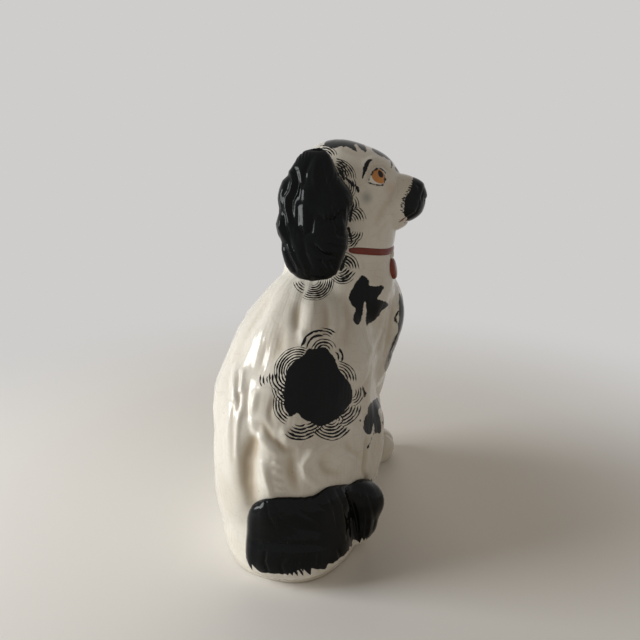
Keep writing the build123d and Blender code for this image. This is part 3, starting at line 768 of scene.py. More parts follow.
def new_group(name, inputs, outputs):
    """empty shader group; gives its tree, the sockets that it is given and the node that it fills"""
    group = bpy.data.node_groups.new(name, "ShaderNodeTree")
    new_socket = group.interface.new_socket
    for socket, value in inputs.items():
        new_socket(name=socket, in_out="INPUT", socket_type="NodeSocketFloat").default_value = value
    for socket, kind in outputs.items():
        new_socket(name=socket, in_out="OUTPUT", socket_type="NodeSocket" + kind)
    return group, group.nodes.new("NodeGroupInput").outputs, group.nodes.new("NodeGroupOutput")


def noise(tree, place, scale, detail, roughness=0.5):
    """cloudy noise, mostly between 0.3 and 0.7"""
    inputs = {"Vector": place, "Scale": scale, "Detail": detail, "Roughness": roughness}
    return add_node(tree, "TexNoise", inputs).outputs["Fac"]


def mix_colour(tree, share, first, second):
    """colour between two colours or sockets"""
    return add_node(tree, "Mix", {0: share, 6: first, 7: second}, data_type="RGBA").outputs[2]


def bump(tree, height, strength, distance):
    """normal of fine relief, of a depth in metres"""
    return add_node(tree, "Bump", {"Height": height, "Strength": strength, "Distance": distance}).outputs[0]


def named_mark(tree, mark):
    """values that a piece keeps at its points under a name"""
    return add_node(tree, "Attribute", attribute_name=mark).outputs


# Creamy glaze: warm white, yellower and darker in hollows (pooled glaze and painted shade), with faint
# crazing and iron specks
creamy_glaze, glaze_in, glaze_out = new_group(
    "creamy glaze", {"Hollow": 0.0}, {"Color": "Color", "Roughness": "Float", "Height": "Float"}
)
place = object_place(creamy_glaze)
# painted shade with pooled glaze: the deeper a hollow of the relief, the darker and browner the glaze
pooled_and_shaded = calculate(creamy_glaze, "MULTIPLY", glaze_in["Hollow"], 0.75)
uneven = calculate(creamy_glaze, "MULTIPLY_ADD", noise(creamy_glaze, place, 28.0, 3.0), 0.9, -0.42)
pooled_and_shaded = calculate(creamy_glaze, "ADD", pooled_and_shaded, uneven, use_clamp=True)
glaze_tone = mix_colour(creamy_glaze, pooled_and_shaded, (0.76, 0.725, 0.645, 1), (0.52, 0.43, 0.31, 1))
cells = add_node(creamy_glaze, "TexVoronoi", {"Vector": place, "Scale": 160.0}, feature="DISTANCE_TO_EDGE")
craze = remap(creamy_glaze, cells.outputs["Distance"], 0.0, 0.035, 0.16, 0.0)
glaze_tone = mix_colour(creamy_glaze, craze, glaze_tone, (0.38, 0.30, 0.20, 1))
speck_cells = add_node(creamy_glaze, "TexVoronoi", {"Vector": place, "Scale": 95.0})
speck = remap(creamy_glaze, speck_cells.outputs["Distance"], 0.02, 0.055, 0.5, 0.0)
glaze_tone = mix_colour(creamy_glaze, speck, glaze_tone, (0.20, 0.14, 0.09, 1))
glaze_gloss = remap(creamy_glaze, noise(creamy_glaze, place, 240.0, 2.0), 0.3, 0.7, 0.07, 0.13)
waviness = noise(creamy_glaze, place, 420.0, 1.0)
fill_inputs(creamy_glaze, glaze_out, {"Color": glaze_tone, "Roughness": glaze_gloss, "Height": waviness})

# Brush edge: a painted area from its signed distance in pixels, with a hand-drawn wobble
brush_edge, brush_in, brush_out = new_group(
    "brush edge", {"Edge": -mark_reach, "Wobble": 0.8, "Softness": 0.35}, {"Mask": "Float"}
)
shake = noise(brush_edge, object_place(brush_edge), 360.0, 4.0, 0.7)
centred = calculate(brush_edge, "SUBTRACT", shake, 0.5)
shaken = calculate(brush_edge, "MULTIPLY_ADD", centred, brush_in["Wobble"], brush_in["Edge"])
below = calculate(brush_edge, "SUBTRACT", 0.0, brush_in["Softness"])
inked = smooth_share(brush_edge, shaken, below, brush_in["Softness"])
fill_inputs(brush_edge, brush_out, {"Mask": inked})

# Combed strokes: thin lines at whole numbers of a fan, thinner towards its sides
combed, comb_in, comb_out = new_group(
    "combed strokes", {"Number": 0.0, "Edge": -mark_reach}, {"Mask": "Float"}
)
place = object_place(combed)
swayed = calculate(combed, "MULTIPLY_ADD", noise(combed, place, 150.0, 2.0), 0.9, comb_in["Number"])
part = calculate(combed, "FRACT", calculate(combed, "ADD", swayed, 0.05))
line_distance = calculate(combed, "ABSOLUTE", calculate(combed, "SUBTRACT", part, 0.5))
thick = remap(combed, noise(combed, place, 300.0, 1.0), 0.3, 0.7, 0.17, 0.40)
taper = remap(combed, comb_in["Edge"], -0.4, 3.0, 0.0, 1.0)
inside_line = calculate(combed, "SUBTRACT", calculate(combed, "MULTIPLY", thick, taper), line_distance)
drawn = smooth_share(combed, inside_line, -0.05, 0.05)
within = calculate(combed, "GREATER_THAN", comb_in["Edge"], -0.4)
fill_inputs(combed, comb_out, {"Mask": calculate(combed, "MULTIPLY", drawn, within)})

# Black enamel: near black with a teal cast, browner and thinner in streaks of the brush
black_enamel, _, black_out = new_group("black enamel", {}, {"Color": "Color"})
place = object_place(black_enamel)
stretched = add_node(black_enamel, "Mapping", {"Vector": place, "Scale": (1.0, 1.0, 0.22)})
brushed = noise(black_enamel, stretched.outputs[0], 340.0, 3.0)
thin = remap(black_enamel, brushed, 0.55, 0.8, 0.0, 0.55)
black_tone = mix_colour(black_enamel, thin, (0.0030, 0.0040, 0.0044, 1), (0.010, 0.0075, 0.0055, 1))
fill_inputs(black_enamel, black_out, {"Color": black_tone})


def earthenware(name, paints=(), has_ink=True, has_combs=True):
    """material of glaze with painted marks: colours under the black ink, then ink and combed strokes"""
    material, tree, surface = new_material(name)
    # hollows of the relief: the glaze is darker and browner there, partly pooled glaze and partly painted
    # shade
    hollow = named_mark(tree, "hollow")["Fac"]
    glaze = add_node(tree, "Group", {"Hollow": hollow}, node_tree=creamy_glaze).outputs
    colour = glaze["Color"]
    for mark, tint, strength, softness in paints:
        area = {"Edge": named_mark(tree, mark)["Fac"], "Softness": softness, "Wobble": 0.5}
        mask = add_node(tree, "Group", area, node_tree=brush_edge)
        colour = mix_colour(tree, calculate(tree, "MULTIPLY", mask.outputs["Mask"], strength), colour, tint)
    masks = []
    if has_ink:
        ink = {"Edge": named_mark(tree, "ink")["Fac"], "Wobble": 3.2}
        masks.append(add_node(tree, "Group", ink, node_tree=brush_edge).outputs["Mask"])
    if has_combs:
        numbers = add_node(tree, "SeparateXYZ", {0: named_mark(tree, "comb_number")["Vector"]}).outputs
        edges = add_node(tree, "SeparateXYZ", {0: named_mark(tree, "comb_edge")["Vector"]}).outputs
        for number, edge in zip(numbers, edges):
            fan = add_node(tree, "Group", {"Number": number, "Edge": edge}, node_tree=combed)
            masks.append(fan.outputs["Mask"])
    coat = 0.55
    if masks:
        black = masks[0]
        for mask in masks[1:]:
            black = calculate(tree, "MAXIMUM", black, mask)
        enamel = add_node(tree, "Group", node_tree=black_enamel)
        colour = mix_colour(tree, black, colour, enamel.outputs["Color"])
        coat = remap(tree, black, 0.0, 1.0, coat, 0.0)
    wavy = bump(tree, glaze["Height"], 0.18, 0.0002)
    fill_inputs(tree, surface, {"Base Color": colour, "Roughness": glaze["Roughness"], "Normal": wavy})
    fill_inputs(tree, surface, {"IOR": 1.24, "Coat Weight": coat, "Coat Roughness": 0.12})
    return material


body_material = earthenware("glazed_body", paints=[("grey_wash", (0.13, 0.125, 0.12, 1), 0.7, 0.8)])
front_columns = slice(half_columns, None)
back_columns = slice(0, half_columns + 1)
for half_name, columns in (("body_front_half", front_columns), ("body_back_half", back_columns)):
    half_marks = {mark: values[:, columns] for mark, values in body_marks.items()}
    inner_part = slice(columns.start // 4, None if columns.stop is None else half_columns // 4 + 1)
    half = shell_piece("glazed_" + half_name, body_surface[:, columns], body_inner[:, inner_part], half_marks)
    half.data.materials.append(body_material)
    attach(half, "root")
    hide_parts(half_name)


# Base plate: the flat slab luted under the body, with its edge glazed, its foot rubbed bare
# and an 8 mm vent for the kiln's hot air.
vent_radius = 4.0
vent_middle = np.array([22.0, 0.0])
base_angle = np.linspace(0, 2 * np.pi, 321)[:-1]
edge_heights = np.array([5.0, 4.4, 3.6, 2.8, 2.0, 1.3, 0.8, 0.4, 0.15, 0.03, 0.0])[:, None]
foot_round = 1.2
foot_inset = 1.4
under_share = np.clip(foot_round - edge_heights, 0, foot_round) / foot_round
round_under = foot_inset * (1 - np.sqrt(1 - under_share**2))
base_edge = body_points(base_angle, edge_heights) - round_under[..., None] * level_rays(base_angle)
base_edge[..., 2] = edge_heights
vent_ring = vent_middle + vent_radius * level_rays(base_angle)[:, :2]


def level_sheet(border, ring, height, shares):
    """rows of points from a border to a ring, by straight lines at one height"""
    flat = border[None, :, :2] * (1 - shares[:, None, None]) + ring[None] * shares[:, None, None]
    return np.concatenate([flat, np.full(flat.shape[:2] + (1,), height)], -1)


sheet_shares = np.linspace(0, 1, 25)[1:]
underside = level_sheet(base_edge[-1], vent_ring, 0.0, sheet_shares)
topside = level_sheet(base_edge[0], vent_ring, base_thickness, sheet_shares)
base_grid = np.concatenate([topside[::-1], base_edge, underside])
base_ids = point_numbers(base_grid)
base_ids = np.pad(base_ids, (0, 1), "wrap")
base_points = base_grid.reshape(-1, 3)
base_marks = {"hollow": 0.15 * ripple(base_points, 12, 4)}
base_plate = make_piece("glazed_base_plate", base_points, [quads(base_ids)[:, ::-1]], base_marks)
base_material, base_tree, base_surface = new_material("glazed_base")
base_glaze = add_node(base_tree, "Group", {"Hollow": 0.25}, node_tree=creamy_glaze)
base_place = object_place(base_tree)
base_height = add_node(base_tree, "SeparateXYZ", {0: base_place}).outputs[2]
clay_grain = noise(base_tree, base_place, 180.0, 5.0)
bare_edge = calculate(base_tree, "MULTIPLY_ADD", clay_grain, -0.0012, base_height)
bare = remap(base_tree, bare_edge, -0.0004, 0.0002, 1.0, 0.0)
clay_tone = mix_colour(base_tree, clay_grain, (0.60, 0.50, 0.38, 1), (0.36, 0.27, 0.18, 1))
base_tone = mix_colour(base_tree, bare, base_glaze.outputs["Color"], clay_tone)
base_gloss = remap(base_tree, bare, 0.0, 1.0, 0.10, 0.85)
base_bump = bump(base_tree, clay_grain, 0.25, 0.0004)
fill_inputs(base_tree, base_surface, {"Base Color": base_tone, "Roughness": base_gloss, "Normal": base_bump})
base_plate.data.materials.append(base_material)
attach(base_plate, "root")
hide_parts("base_plate")


# Head halves: two thin shells on the same upright seam, with the face in front. The head is
# cut level at the neck, and its foot flares there to meet the body's own outline.
head_middle = 8.03
head_blend = 2.4
nose_tip = -64.9
head_rear = 17.8
parting_depth = -2.0
flare_top = 187.0
nose_rounding = 2.6
rear_rounding = 2.0
head_forms = {
    "skull": ((0.055, -0.165, 0.877), (0.212, 0.314, 0.133), (0, 0, 0)),
    "brow": ((0.055, -0.330, 0.905), (0.171, 0.241, 0.087), (0, 0, 0)),
    "cheeks": ((0.055, -0.279, 0.835), (0.185, 0.279, 0.096), (0, 0, 0)),
    "bridge": ((0.055, -0.550, 0.888), (0.065, 0.185, 0.043), (0, 0, 0)),
    "muzzle": ((0.055, -0.539, 0.863), (0.099, 0.206, 0.052), (0, 0, 0)),
    "nose": ((0.055, -0.713, 0.886), (0.036, 0.052, 0.020), (0, 0, 0)),
    "jaw": ((0.055, -0.424, 0.827), (0.075, 0.212, 0.040), (0, 0, 0)),
    "nape": body_forms["nape"],
}
head_axis = np.array(
    [(-0.77, 0.885), (-0.73, 0.873), (-0.66, 0.866), (-0.23, 0.861), (0.0, 0.848), (0.2, 0.817)]
)
head_axis *= figure_size[1:]


def head_points(angle, depth, wall=0.0):
    """surface of the head at angles about its level axis, at depths along it"""
    angle, depth = np.broadcast_arrays(angle, depth)
    axis_height = np.interp(depth, head_axis[:, 0], head_axis[:, 1])
    origin = np.stack([head_middle + 0 * depth, depth, axis_height], -1)
    rays = np.stack([np.cos(angle), 0 * angle, np.sin(angle)], -1)
    reach = blended([exit_distance(origin, rays, form) for form in head_forms.values()], head_blend)
    from_tip = np.clip((depth - nose_tip) / nose_rounding, 0, 1)
    from_rear = np.clip((head_rear - depth) / rear_rounding, 0, 1)
    rounding = np.sqrt(np.clip(1 - (1 - from_tip) ** 2, 0.004, 1))
    rounding = rounding * np.sqrt(np.clip(1 - (1 - from_rear) ** 2, 0.004, 1))
    return origin + ((reach - wall) * rounding)[..., None] * rays


def seam_opening(depth):
    """half angle, from straight down, over which a section of the head lies below the neck seam"""
    down = np.linspace(0, np.pi / 2, 361)
    heights = head_points(down - np.pi / 2, depth[:, None])[..., 2]
    below = heights < neck_seam_height
    last = np.where(below.any(1), 360 - np.argmax(below[:, ::-1], 1), 0)
    row = np.arange(len(depth))
    after = np.minimum(last + 1, 360)
    share = neck_seam_height - heights[row, last]
    share = share / np.maximum(heights[row, after] - heights[row, last], 1e-6)
    return np.where(below.any(1), down[last] + np.clip(share, 0, 1) * (down[1] - down[0]), 0.0)


test_depths = np.linspace(nose_tip, head_rear, 900)
opening = seam_opening(test_depths) > 0
first_cut = test_depths[opening][0] - 0.1
last_cut = test_depths[opening][-1] + 0.1
muzzle_rows = 72
face_rows = 112
nape_rows = 44
rear_rows = 12
head_columns = 384
head_depth = np.concatenate(
    [
        nose_tip + (first_cut - nose_tip) * np.linspace(0.0, 1, muzzle_rows + 1)[:-1] ** 1.5,
        np.linspace(first_cut, parting_depth, face_rows + 1)[:-1],
        np.linspace(parting_depth, last_cut, nape_rows + 1)[:-1],
        head_rear - (head_rear - last_cut) * np.linspace(1, 0, rear_rows + 1) ** 1.5,
    ]
)
head_opening = seam_opening(head_depth)
head_opening[: muzzle_rows + 1] = 0
head_opening[muzzle_rows + face_rows + nape_rows :] = 0
head_share = np.linspace(0, 1, head_columns + 1)
head_angle = -np.pi / 2 + head_opening[:, None] + (2 * np.pi - 2 * head_opening[:, None]) * head_share
head_grid = head_points(head_angle, head_depth[:, None])
cut_row = head_opening > 0
head_grid[cut_row, 0, 2] = neck_seam_height
head_grid[cut_row, -1, 2] = neck_seam_height

seam_border = np.concatenate([head_grid[cut_row, 0], head_grid[cut_row, -1]])
seam_axis = axis_at(neck_seam_height)
border_angle = np.arctan2(seam_border[:, 1] - seam_axis[1], seam_border[:, 0] - seam_axis[0])
border_gap = body_reach(border_angle, neck_seam_height + 0 * border_angle)
border_gap -= np.hypot(seam_border[:, 0] - seam_axis[0], seam_border[:, 1] - seam_axis[1])
border_order = np.argsort(border_angle)


def flared(points):
    """moves points of the head out from the neck's axis, fully at the seam and not at all at its top"""
    flat = points[..., :2] - seam_axis[:2]
    angle = np.arctan2(flat[..., 1], flat[..., 0])
    gap = np.interp(angle, border_angle[border_order], border_gap[border_order], period=2 * np.pi)
    gap = gap * smooth_step(-points[..., 2], -flare_top, -neck_seam_height)
    moved = points.copy()
    moved[..., :2] += flat / np.maximum(np.linalg.norm(flat, axis=-1, keepdims=True), 1e-6) * gap[..., None]
    return moved


head_grid = flared(head_grid)


def head_outward(points):
    """unit normals of the head's grid, which runs along the head and then round it"""
    rows = np.gradient(points, axis=0)
    columns = np.gradient(points, axis=1)
    joined = (points[:, 1] - points[:, -2]) / 2
    columns[~cut_row, 0] = joined[~cut_row]
    columns[~cut_row, -1] = joined[~cut_row]
    normals = np.cross(rows, columns)
    return normals / np.maximum(np.linalg.norm(normals, axis=-1, keepdims=True), 1e-9)


# The two cheeks are alike, so both take their relief and paint from the one that is seen
head_normal = head_outward(head_grid)
near_cheek = head_grid.copy()
near_cheek[..., 0] = np.minimum(near_cheek[..., 0], 2 * head_middle - near_cheek[..., 0])
head_place = photo_place(near_cheek)
head_relief = [
    (0.75, 4.2, [(376.5, 175.5), (378.5, 178)]),
    (0.45, 1.3, [(368.5, 181), (371, 174), (375, 169), (381, 168.4), (385.5, 172.5)]),
    (-0.45, 1.6, [(366.5, 180), (369, 171.5), (374, 166.3), (382, 165.6), (388, 171)]),
    (0.55, 3.2, [(362, 172), (366, 163), (373, 159), (382, 161)]),
    (0.4, 1.4, [(368, 184), (375, 187), (382, 187), (386, 184)]),
    (-0.45, 3.4, [(394, 187), (389, 200), (381, 213), (376, 224)]),
    (0.55, 4.5, [(400, 186), (397, 200), (394, 212)]),
    (-0.55, 1.1, [(402, 220), (409, 216.6), (415.5, 212.4), (419, 206.5), (419.4, 200.5)]),
    (0.35, 1.3, [(406, 217), (412.3, 213.7), (418.4, 209), (420.4, 202.3)]),
    (-0.5, 1.3, [(416.8, 184.5), (419.2, 187), (418.4, 190)]),
    (-0.35, 1, [(423.4, 191), (421.6, 196), (421.6, 201)]),
    (-0.35, 3, [(388, 222), (380, 232), (377, 244)]),
    (0.4, 4, [(367, 196), (368, 200)]),
    (-0.3, 2, [(345, 150), (356, 154), (366, 157)]),
]
head_relief_height = ridges(head_place, head_relief)
head_tuft_width = 8.0
head_tuft_length = 13.0
head_tuft_relief = 0.35
crown_height = 232.6
neck_fade = (172, 179)
head_tuft = lock_field(head_grid[..., 1] + 40, head_grid[..., 2], head_tuft_width, head_tuft_length, 12)
rear_share = smooth_step(head_grid[..., 1], -22, -6)
head_relief_height += head_tuft_relief * rear_share * (head_tuft - 0.4)
raised_fade = smooth_step(head_grid[..., 2], neck_seam_height, neck_fade[1])
raised_fade *= smooth_step(crown_height - head_grid[..., 2], 0.0, 3.0)
sunk_fade = smooth_step(head_grid[..., 2], *neck_fade)
head_relief_height *= np.where(head_relief_height > 0, raised_fade, sunk_fade)
head_surface = head_grid + head_relief_height[..., None] * head_normal

crown_patch = [
    (323.5, 144.8), (328, 138), (340, 130), (352, 132), (362, 140), (366.3, 148.7), (366.8, 150.9),
    (365.6, 152.5), (364, 151.9), (360.5, 149), (357, 144.6), (355.1, 143.9), (354.1, 144.9),
    (357.3, 150.9), (356.4, 151.6), (353.5, 150.3), (350.3, 148.1), (347.1, 146.8), (345.2, 146.5),
    (343.3, 147.4), (342, 146.5), (338.8, 146.8), (335, 148.4), (330, 147.4), (326, 145.8),
]
forehead_streak = [
    (371.4, 148.7), (373.5, 147.4), (380.9, 150), (385.4, 152.4), (389.2, 155.6), (391.5, 158.8),
    (392.9, 163.1), (391.8, 168.5), (390.8, 168.2), (391.1, 163.7), (390.2, 160.5), (386.7, 158.9),
    (382.2, 157), (378.4, 154.8), (374.5, 151.9),
]
brow_crescent = [
    (362.1, 178.7), (362.3, 173.3), (363.1, 166.9), (365, 162.4), (368.2, 159.6), (373.3, 160.2),
    (370.7, 161.8), (368.5, 165), (366.9, 169.4), (364.7, 174.5), (362.7, 178.7),
]
muzzle_patch = [
    (414.1, 176), (412.7, 179.6), (412.1, 183.5), (411.4, 187.3), (409.7, 191.1), (407.4, 194.3),
    (405.4, 196.9), (404.7, 200.7), (404.4, 205.2), (404.1, 209), (403.4, 212.8), (404.6, 215.6),
    (407, 217.6), (406.2, 220.2), (410.3, 221.9), (415.4, 221.5), (430, 219), (440, 195), (426, 168),
]
eye_outline = [
    (367.8, 182.5), (369.8, 176.8), (372.3, 171.7), (375.8, 168.5), (379, 168.2), (382.2, 169.8),
    (385.1, 172.6), (384.4, 177.1), (384.4, 179.6), (384.1, 182.8), (382.2, 185.1), (379.6, 185.4),
    (375.8, 184.7), (370.7, 183.5), (367.8, 182.5),
]
iris_outline = [
    (371.2, 174), (373.2, 170.6), (376.4, 168.8), (379.6, 169.4), (382.6, 171.6), (384.6, 174.6),
    (384.8, 179), (383.8, 183), (380.9, 183.8), (376.6, 182.6), (373.2, 180), (371.6, 176.8),
]
pupil_outline = [
    (377.4, 171.8), (379.2, 170.2), (381.6, 171.6), (383.2, 174.6), (382.8, 177.4), (380.4, 178.2),
    (378.4, 176.4), (377.6, 174),
]
head_strokes = [
    (eye_outline, [1.0, 1.1, 0.9, 1.0, 1.0, 1.2, 1.0, 1.0, 1.0, 1.3, 1.2, 1.3, 1.1, 1.2, 1.0]),
    ([(384.7, 178.8), (385, 179.5)], [2.2, 2.2]),
    ([(355.2, 184.6), (357.4, 188.2), (358.4, 192)], [1.6, 3.2, 1.6]),
    ([(395.2, 167.6), (397, 169.6), (399.6, 172)], [1.6, 2.6, 1.4]),
    ([(338, 168), (341, 173), (344, 179)], [2, 3.6, 2.4]),
    ([(352.5, 206), (351, 214), (350, 221)], [2.6, 3.6, 2]),
    ([(348.5, 228), (350, 235), (352, 241)], [2.4, 3.2, 1.6]),
    ([(346, 178), (350, 182), (353.5, 186)], [2, 3.4, 2]),
    ([(344.6, 195), (349, 200), (352.2, 206)], [2, 3, 1.6]),
    ([(371.6, 175.2), (373.6, 171.2), (377.2, 169.2)], [1, 1.5, 1.2]),
]
stubble_places = [
    (412, 180.5), (410.6, 183), (411.4, 186), (409, 187.4), (408, 190), (406.2, 191.6), (407, 193.6),
    (404.6, 194.6), (403.6, 197.4), (405.2, 198.8), (403, 200.6), (401.8, 203), (403.6, 204.8),
    (401.4, 206.6), (403, 208.8), (400.8, 210.2), (402.4, 212), (409.6, 185.2), (405.8, 196.4),
    (402.6, 198.8), (400.6, 204.8),
]
for across, down in stubble_places:
    head_strokes.append(([(across, down), (across + 1.4, down + 0.3)], [1.1, 1.5]))
lip_strokes = [
    ([(399.2, 222), (402.5, 220), (406.2, 217.2)], [0.7, 1.4, 1.2]),
    ([(404.3, 222.6), (406.4, 220.6), (408.4, 218.4)], [0.6, 1.2, 1]),
]
head_ink = most_inside(
    head_place, [crown_patch, forehead_streak, brow_crescent, muzzle_patch, pupil_outline], head_strokes
)
head_comb_number, head_comb_edge = comb_fans(head_place, ear_combs)
smudge_middle = np.array([366.8, 197.6])
smudge_stretch = np.array([1.0, 1.15])
smudge_radius = 4.2
smudge_gap = np.linalg.norm((head_place - smudge_middle) / smudge_stretch, axis=-1)
# Painted shade: a soft, darker warm brown patch on the side of the muzzle, where the face turns into shade
muzzle_side_shade_middle = np.array([389.6, 187.6])
muzzle_side_shade_radius = 4.0
muzzle_side_shade_gap = np.linalg.norm(head_place - muzzle_side_shade_middle, axis=-1)
away_from_camera = (head_grid[..., 1] > 8) & (head_grid[..., 0] > 0) & (head_grid[..., 2] < 215)
head_marks = {
    "ink": np.where(away_from_camera, -mark_reach, within_reach(head_ink)),
    "comb_number": head_comb_number,
    "comb_edge": within_reach(head_comb_edge),
    # depth of the relief, which the glaze darkens: pooled glaze and painted shade
    "hollow": np.clip(-head_relief_height / 0.9, -0.6, 1.0),
    "eye_white": within_reach(patch_edge(head_place, eye_outline[:-1])),
    "iris": within_reach(patch_edge(head_place, iris_outline)),
    "lips": within_reach(most_inside(head_place, [], lip_strokes)),
    "cheek_smudge": within_reach(smudge_radius - smudge_gap),
    "muzzle_side_shade": within_reach(muzzle_side_shade_radius - muzzle_side_shade_gap),
}
head_material = earthenware(
    "glazed_head",
    paints=[
        # painted shade on the side of the muzzle
        ("muzzle_side_shade", (0.62, 0.40, 0.30, 1), 0.35, 5.0),
        ("cheek_smudge", (0.17, 0.18, 0.17, 1), 0.62, 5.0),
        ("eye_white", (0.86, 0.84, 0.80, 1), 1.0, 0.3),
        ("iris", (0.62, 0.24, 0.030, 1), 1.0, 0.35),
        ("lips", (0.16, 0.020, 0.012, 1), 0.95, 0.35),
    ],
)


full_wall_reach = 22.0
thinnest_wall_share = 0.16


def head_half(name, node, rows, pole_first):
    """closed shell of some rows of the head, with a cap at its pole and a rim at the seams"""
    outer = head_surface[rows]
    cut = cut_row[rows]
    pole, seam = (0, -1) if pole_first else (-1, 0)
    from_pole = np.abs(outer[:, :1, 1] - outer[pole, 0, 1])
    share = np.clip(from_pole / full_wall_reach, thinnest_wall_share, 1)
    inner = (head_grid[rows] - clay_wall * share[..., None] * head_normal[rows])[::4, ::4]
    inner[..., 2] = np.maximum(inner[..., 2], neck_seam_height)
    inner_cut = cut[::4]
    inner[inner_cut, 0, 2] = neck_seam_height
    inner[inner_cut, -1, 2] = neck_seam_height
    seam_depth = outer[seam, 0, 1]
    inner[seam, :, 1] = seam_depth
    inner[..., 1] = (np.minimum if pole_first else np.maximum)(inner[..., 1], seam_depth)
    outer_ids = point_numbers(outer)
    inner_ids = point_numbers(inner, outer_ids.size)
    outer_ids[~cut, -1] = outer_ids[~cut, 0]
    inner_ids[~inner_cut, -1] = inner_ids[~inner_cut, 0]
    poles = outer_ids.size + inner_ids.size + np.arange(2)
    rim = rim_faces(outer_ids[seam], inner_ids[seam])
    outer_cap = np.stack([outer_ids[pole, 1:], outer_ids[pole, :-1], 0 * outer_ids[pole, 1:] + poles[0]], -1)
    inner_cap = np.stack([inner_ids[pole, :-1], inner_ids[pole, 1:], 0 * inner_ids[pole, 1:] + poles[1]], -1)
    faces = [quads(outer_ids)[:, ::-1], quads(inner_ids)]
    if pole_first:
        faces += [rim[:, ::-1], outer_cap, inner_cap]
    else:
        faces += [rim, outer_cap[:, ::-1], inner_cap[:, ::-1]]
    open_groups = cut[:-1:4] | cut[4::4]
    left = rim_faces(outer_ids[:, 0], inner_ids[:, 0])[open_groups]
    right = rim_faces(outer_ids[:, -1], inner_ids[:, -1])[open_groups]
    faces += [left[:, ::-1], right]
    centres = np.stack([outer[pole].mean(0), inner[pole].mean(0)])
    points = np.concatenate([outer.reshape(-1, 3), inner.reshape(-1, 3), centres])
    kept = {}
    for mark, values in head_marks.items():
        values = values[rows]
        bare = np.full(inner.shape[:2] + values.shape[2:], 0.0 if mark == "hollow" else -mark_reach)
        ends = np.stack([values[pole].mean(0), bare[pole].mean(0)])
        flat = [values.reshape(-1, *values.shape[2:]), bare.reshape(-1, *values.shape[2:]), ends]
        kept[mark] = np.concatenate(flat)
    half = make_piece(name, points, faces, kept)
    half.data.materials.append(head_material)
    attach(half, "root")
    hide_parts(node)
    return half


head_half("glazed_head_front_half", "head_front_half", slice(0, muzzle_rows + face_rows + 1), True)
head_half("glazed_head_back_half", "head_back_half", slice(muzzle_rows + face_rows, None), False)


# Ears: thick solid lobes of clay, luted to the sides of the head and hanging over the
# shoulders. Locks of hair are moulded on them, and they are covered in black enamel.
ear_plane_x = -31.0
ear_tip_height = 160.6
ear_top_height = 229.4
ear_half_depth = 10.2
ear_squareness = 0.86
ear_hair_pitch = 4.2
ear_hair_relief = 0.16
ear_rear_edge = [
    (317, 150), (309, 151), (301.6, 153), (295.3, 158.5), (291.2, 166), (287, 173), (286.2, 177),
    (281.2, 182), (278.4, 191), (277.4, 200), (279.2, 208.7), (279, 214), (276.3, 224.5), (278, 233),
    (282.4, 242), (282.2, 249.7), (284.7, 261), (289, 270), (297.4, 277.6), (308, 280),
]
ear_face_edge = [
    (317, 150), (322, 152.5), (326.8, 157), (330, 162.4), (333.2, 170), (337.2, 177.5), (343, 185),
    (349, 192), (352, 199), (351.6, 207), (348, 217), (346.6, 229.7), (348, 240), (347.2, 248.7),
    (343.7, 258), (340, 267.5), (336.6, 274), (330, 278.4), (318, 280),
]
ear_relief = [
    (1, 2.2, [(291, 172), (293.2, 181.1), (291, 190.5), (286.6, 198), (286.4, 211), (289, 222)]),
    (-1.3, 2.6, [(295.5, 170), (298, 182), (295.5, 194), (291.5, 201), (291.5, 212), (294, 224)]),
    (1, 3, [(284.5, 184), (281.5, 195), (282.5, 206)]),
    (0.9, 2.4, [(280.2, 218), (280, 228), (284, 238)]),
    (-0.9, 2, [(284.5, 214), (284.6, 226), (288.5, 238), (292, 250)]),
    (1.5, 6.5, [(307.5, 192), (307.8, 199)]),
    (-1.1, 2.4, [(297, 207), (297.5, 226.1), (303.3, 235.7), (311, 231.9), (313.4, 215)]),
    (0.9, 3, [(304, 208), (305, 226)]),
    (-1.2, 2, [(313.8, 245), (318.6, 251.5), (324.3, 255.3), (333, 256.6)]),
    (0.8, 3, [(318, 243), (324, 249), (333, 251)]),
    (-1.1, 2.2, [(317.6, 214), (324.2, 221.4), (334.8, 220.5), (341.6, 211.7)]),
    (1, 3.4, [(322, 211), (331, 213), (338, 205)]),
    (1, 3.4, [(344, 196), (346.5, 203), (343, 212)]),
    (-1, 2, [(335.6, 224), (339.6, 235.7), (345.3, 236.7)]),
    (0.8, 3, [(341, 222), (343.5, 229)]),
    (-0.9, 1.8, [(284.6, 247), (289, 259), (295.5, 271)]),
    (0.7, 2.2, [(288.6, 246), (293, 257), (299, 268)]),
    (-0.8, 1.8, [(328.1, 244.3), (335, 247.4), (343.6, 247.4)]),
    (-0.9, 2.4, [(310, 160), (305, 172), (304, 184)]),
    (0.7, 3, [(316, 160), (314, 176), (316, 190)]),
    (-0.8, 2.4, [(322, 164), (324, 180), (330, 192)]),
    (-0.8, 2.2, [(303, 240), (305, 254), (311, 268)]),
    (0.6, 3, [(297, 244), (300, 258), (306, 270)]),
    (-0.7, 2, [(321, 262), (326, 270)]),
    (-0.7, 2, [(331, 262), (334, 268)]),
]


def on_plane(pixels, plane_x):
    """where the camera's rays through pixels meet an upright plane across the figure"""
    pixels = np.asarray(pixels, float)
    shift = (pixels - middle_pixel) / focal_pixels
    rays = camera_forward + shift[:, :1] * camera_right - shift[:, 1:] * camera_up
    return camera_eye + rays * ((plane_x - camera_eye[0]) / rays[:, 0])[:, None]


ear_rows = 200
ear_columns = 240
ear_climb = (1 - np.cos(np.linspace(0, np.pi, ear_rows + 1))) / 2
ear_climb = 0.6 * ear_climb + 0.4 * np.linspace(0, 1, ear_rows + 1)
ear_height = (ear_tip_height + (ear_top_height - ear_tip_height) * ear_climb)[:, None]
ear_turn = np.linspace(0, 2 * np.pi, ear_columns + 1)


def edge_depth(pixels):
    """y of an edge of the ear at each row, with the edge stretched from the ear's tip to its top"""
    line = on_plane(pixels, ear_plane_x)[::-1]
    line_height = np.interp(line[:, 2], line[[0, -1], 2], [ear_tip_height, ear_top_height])
    return np.interp(ear_height[:, 0], line_height, line[:, 1])[:, None]


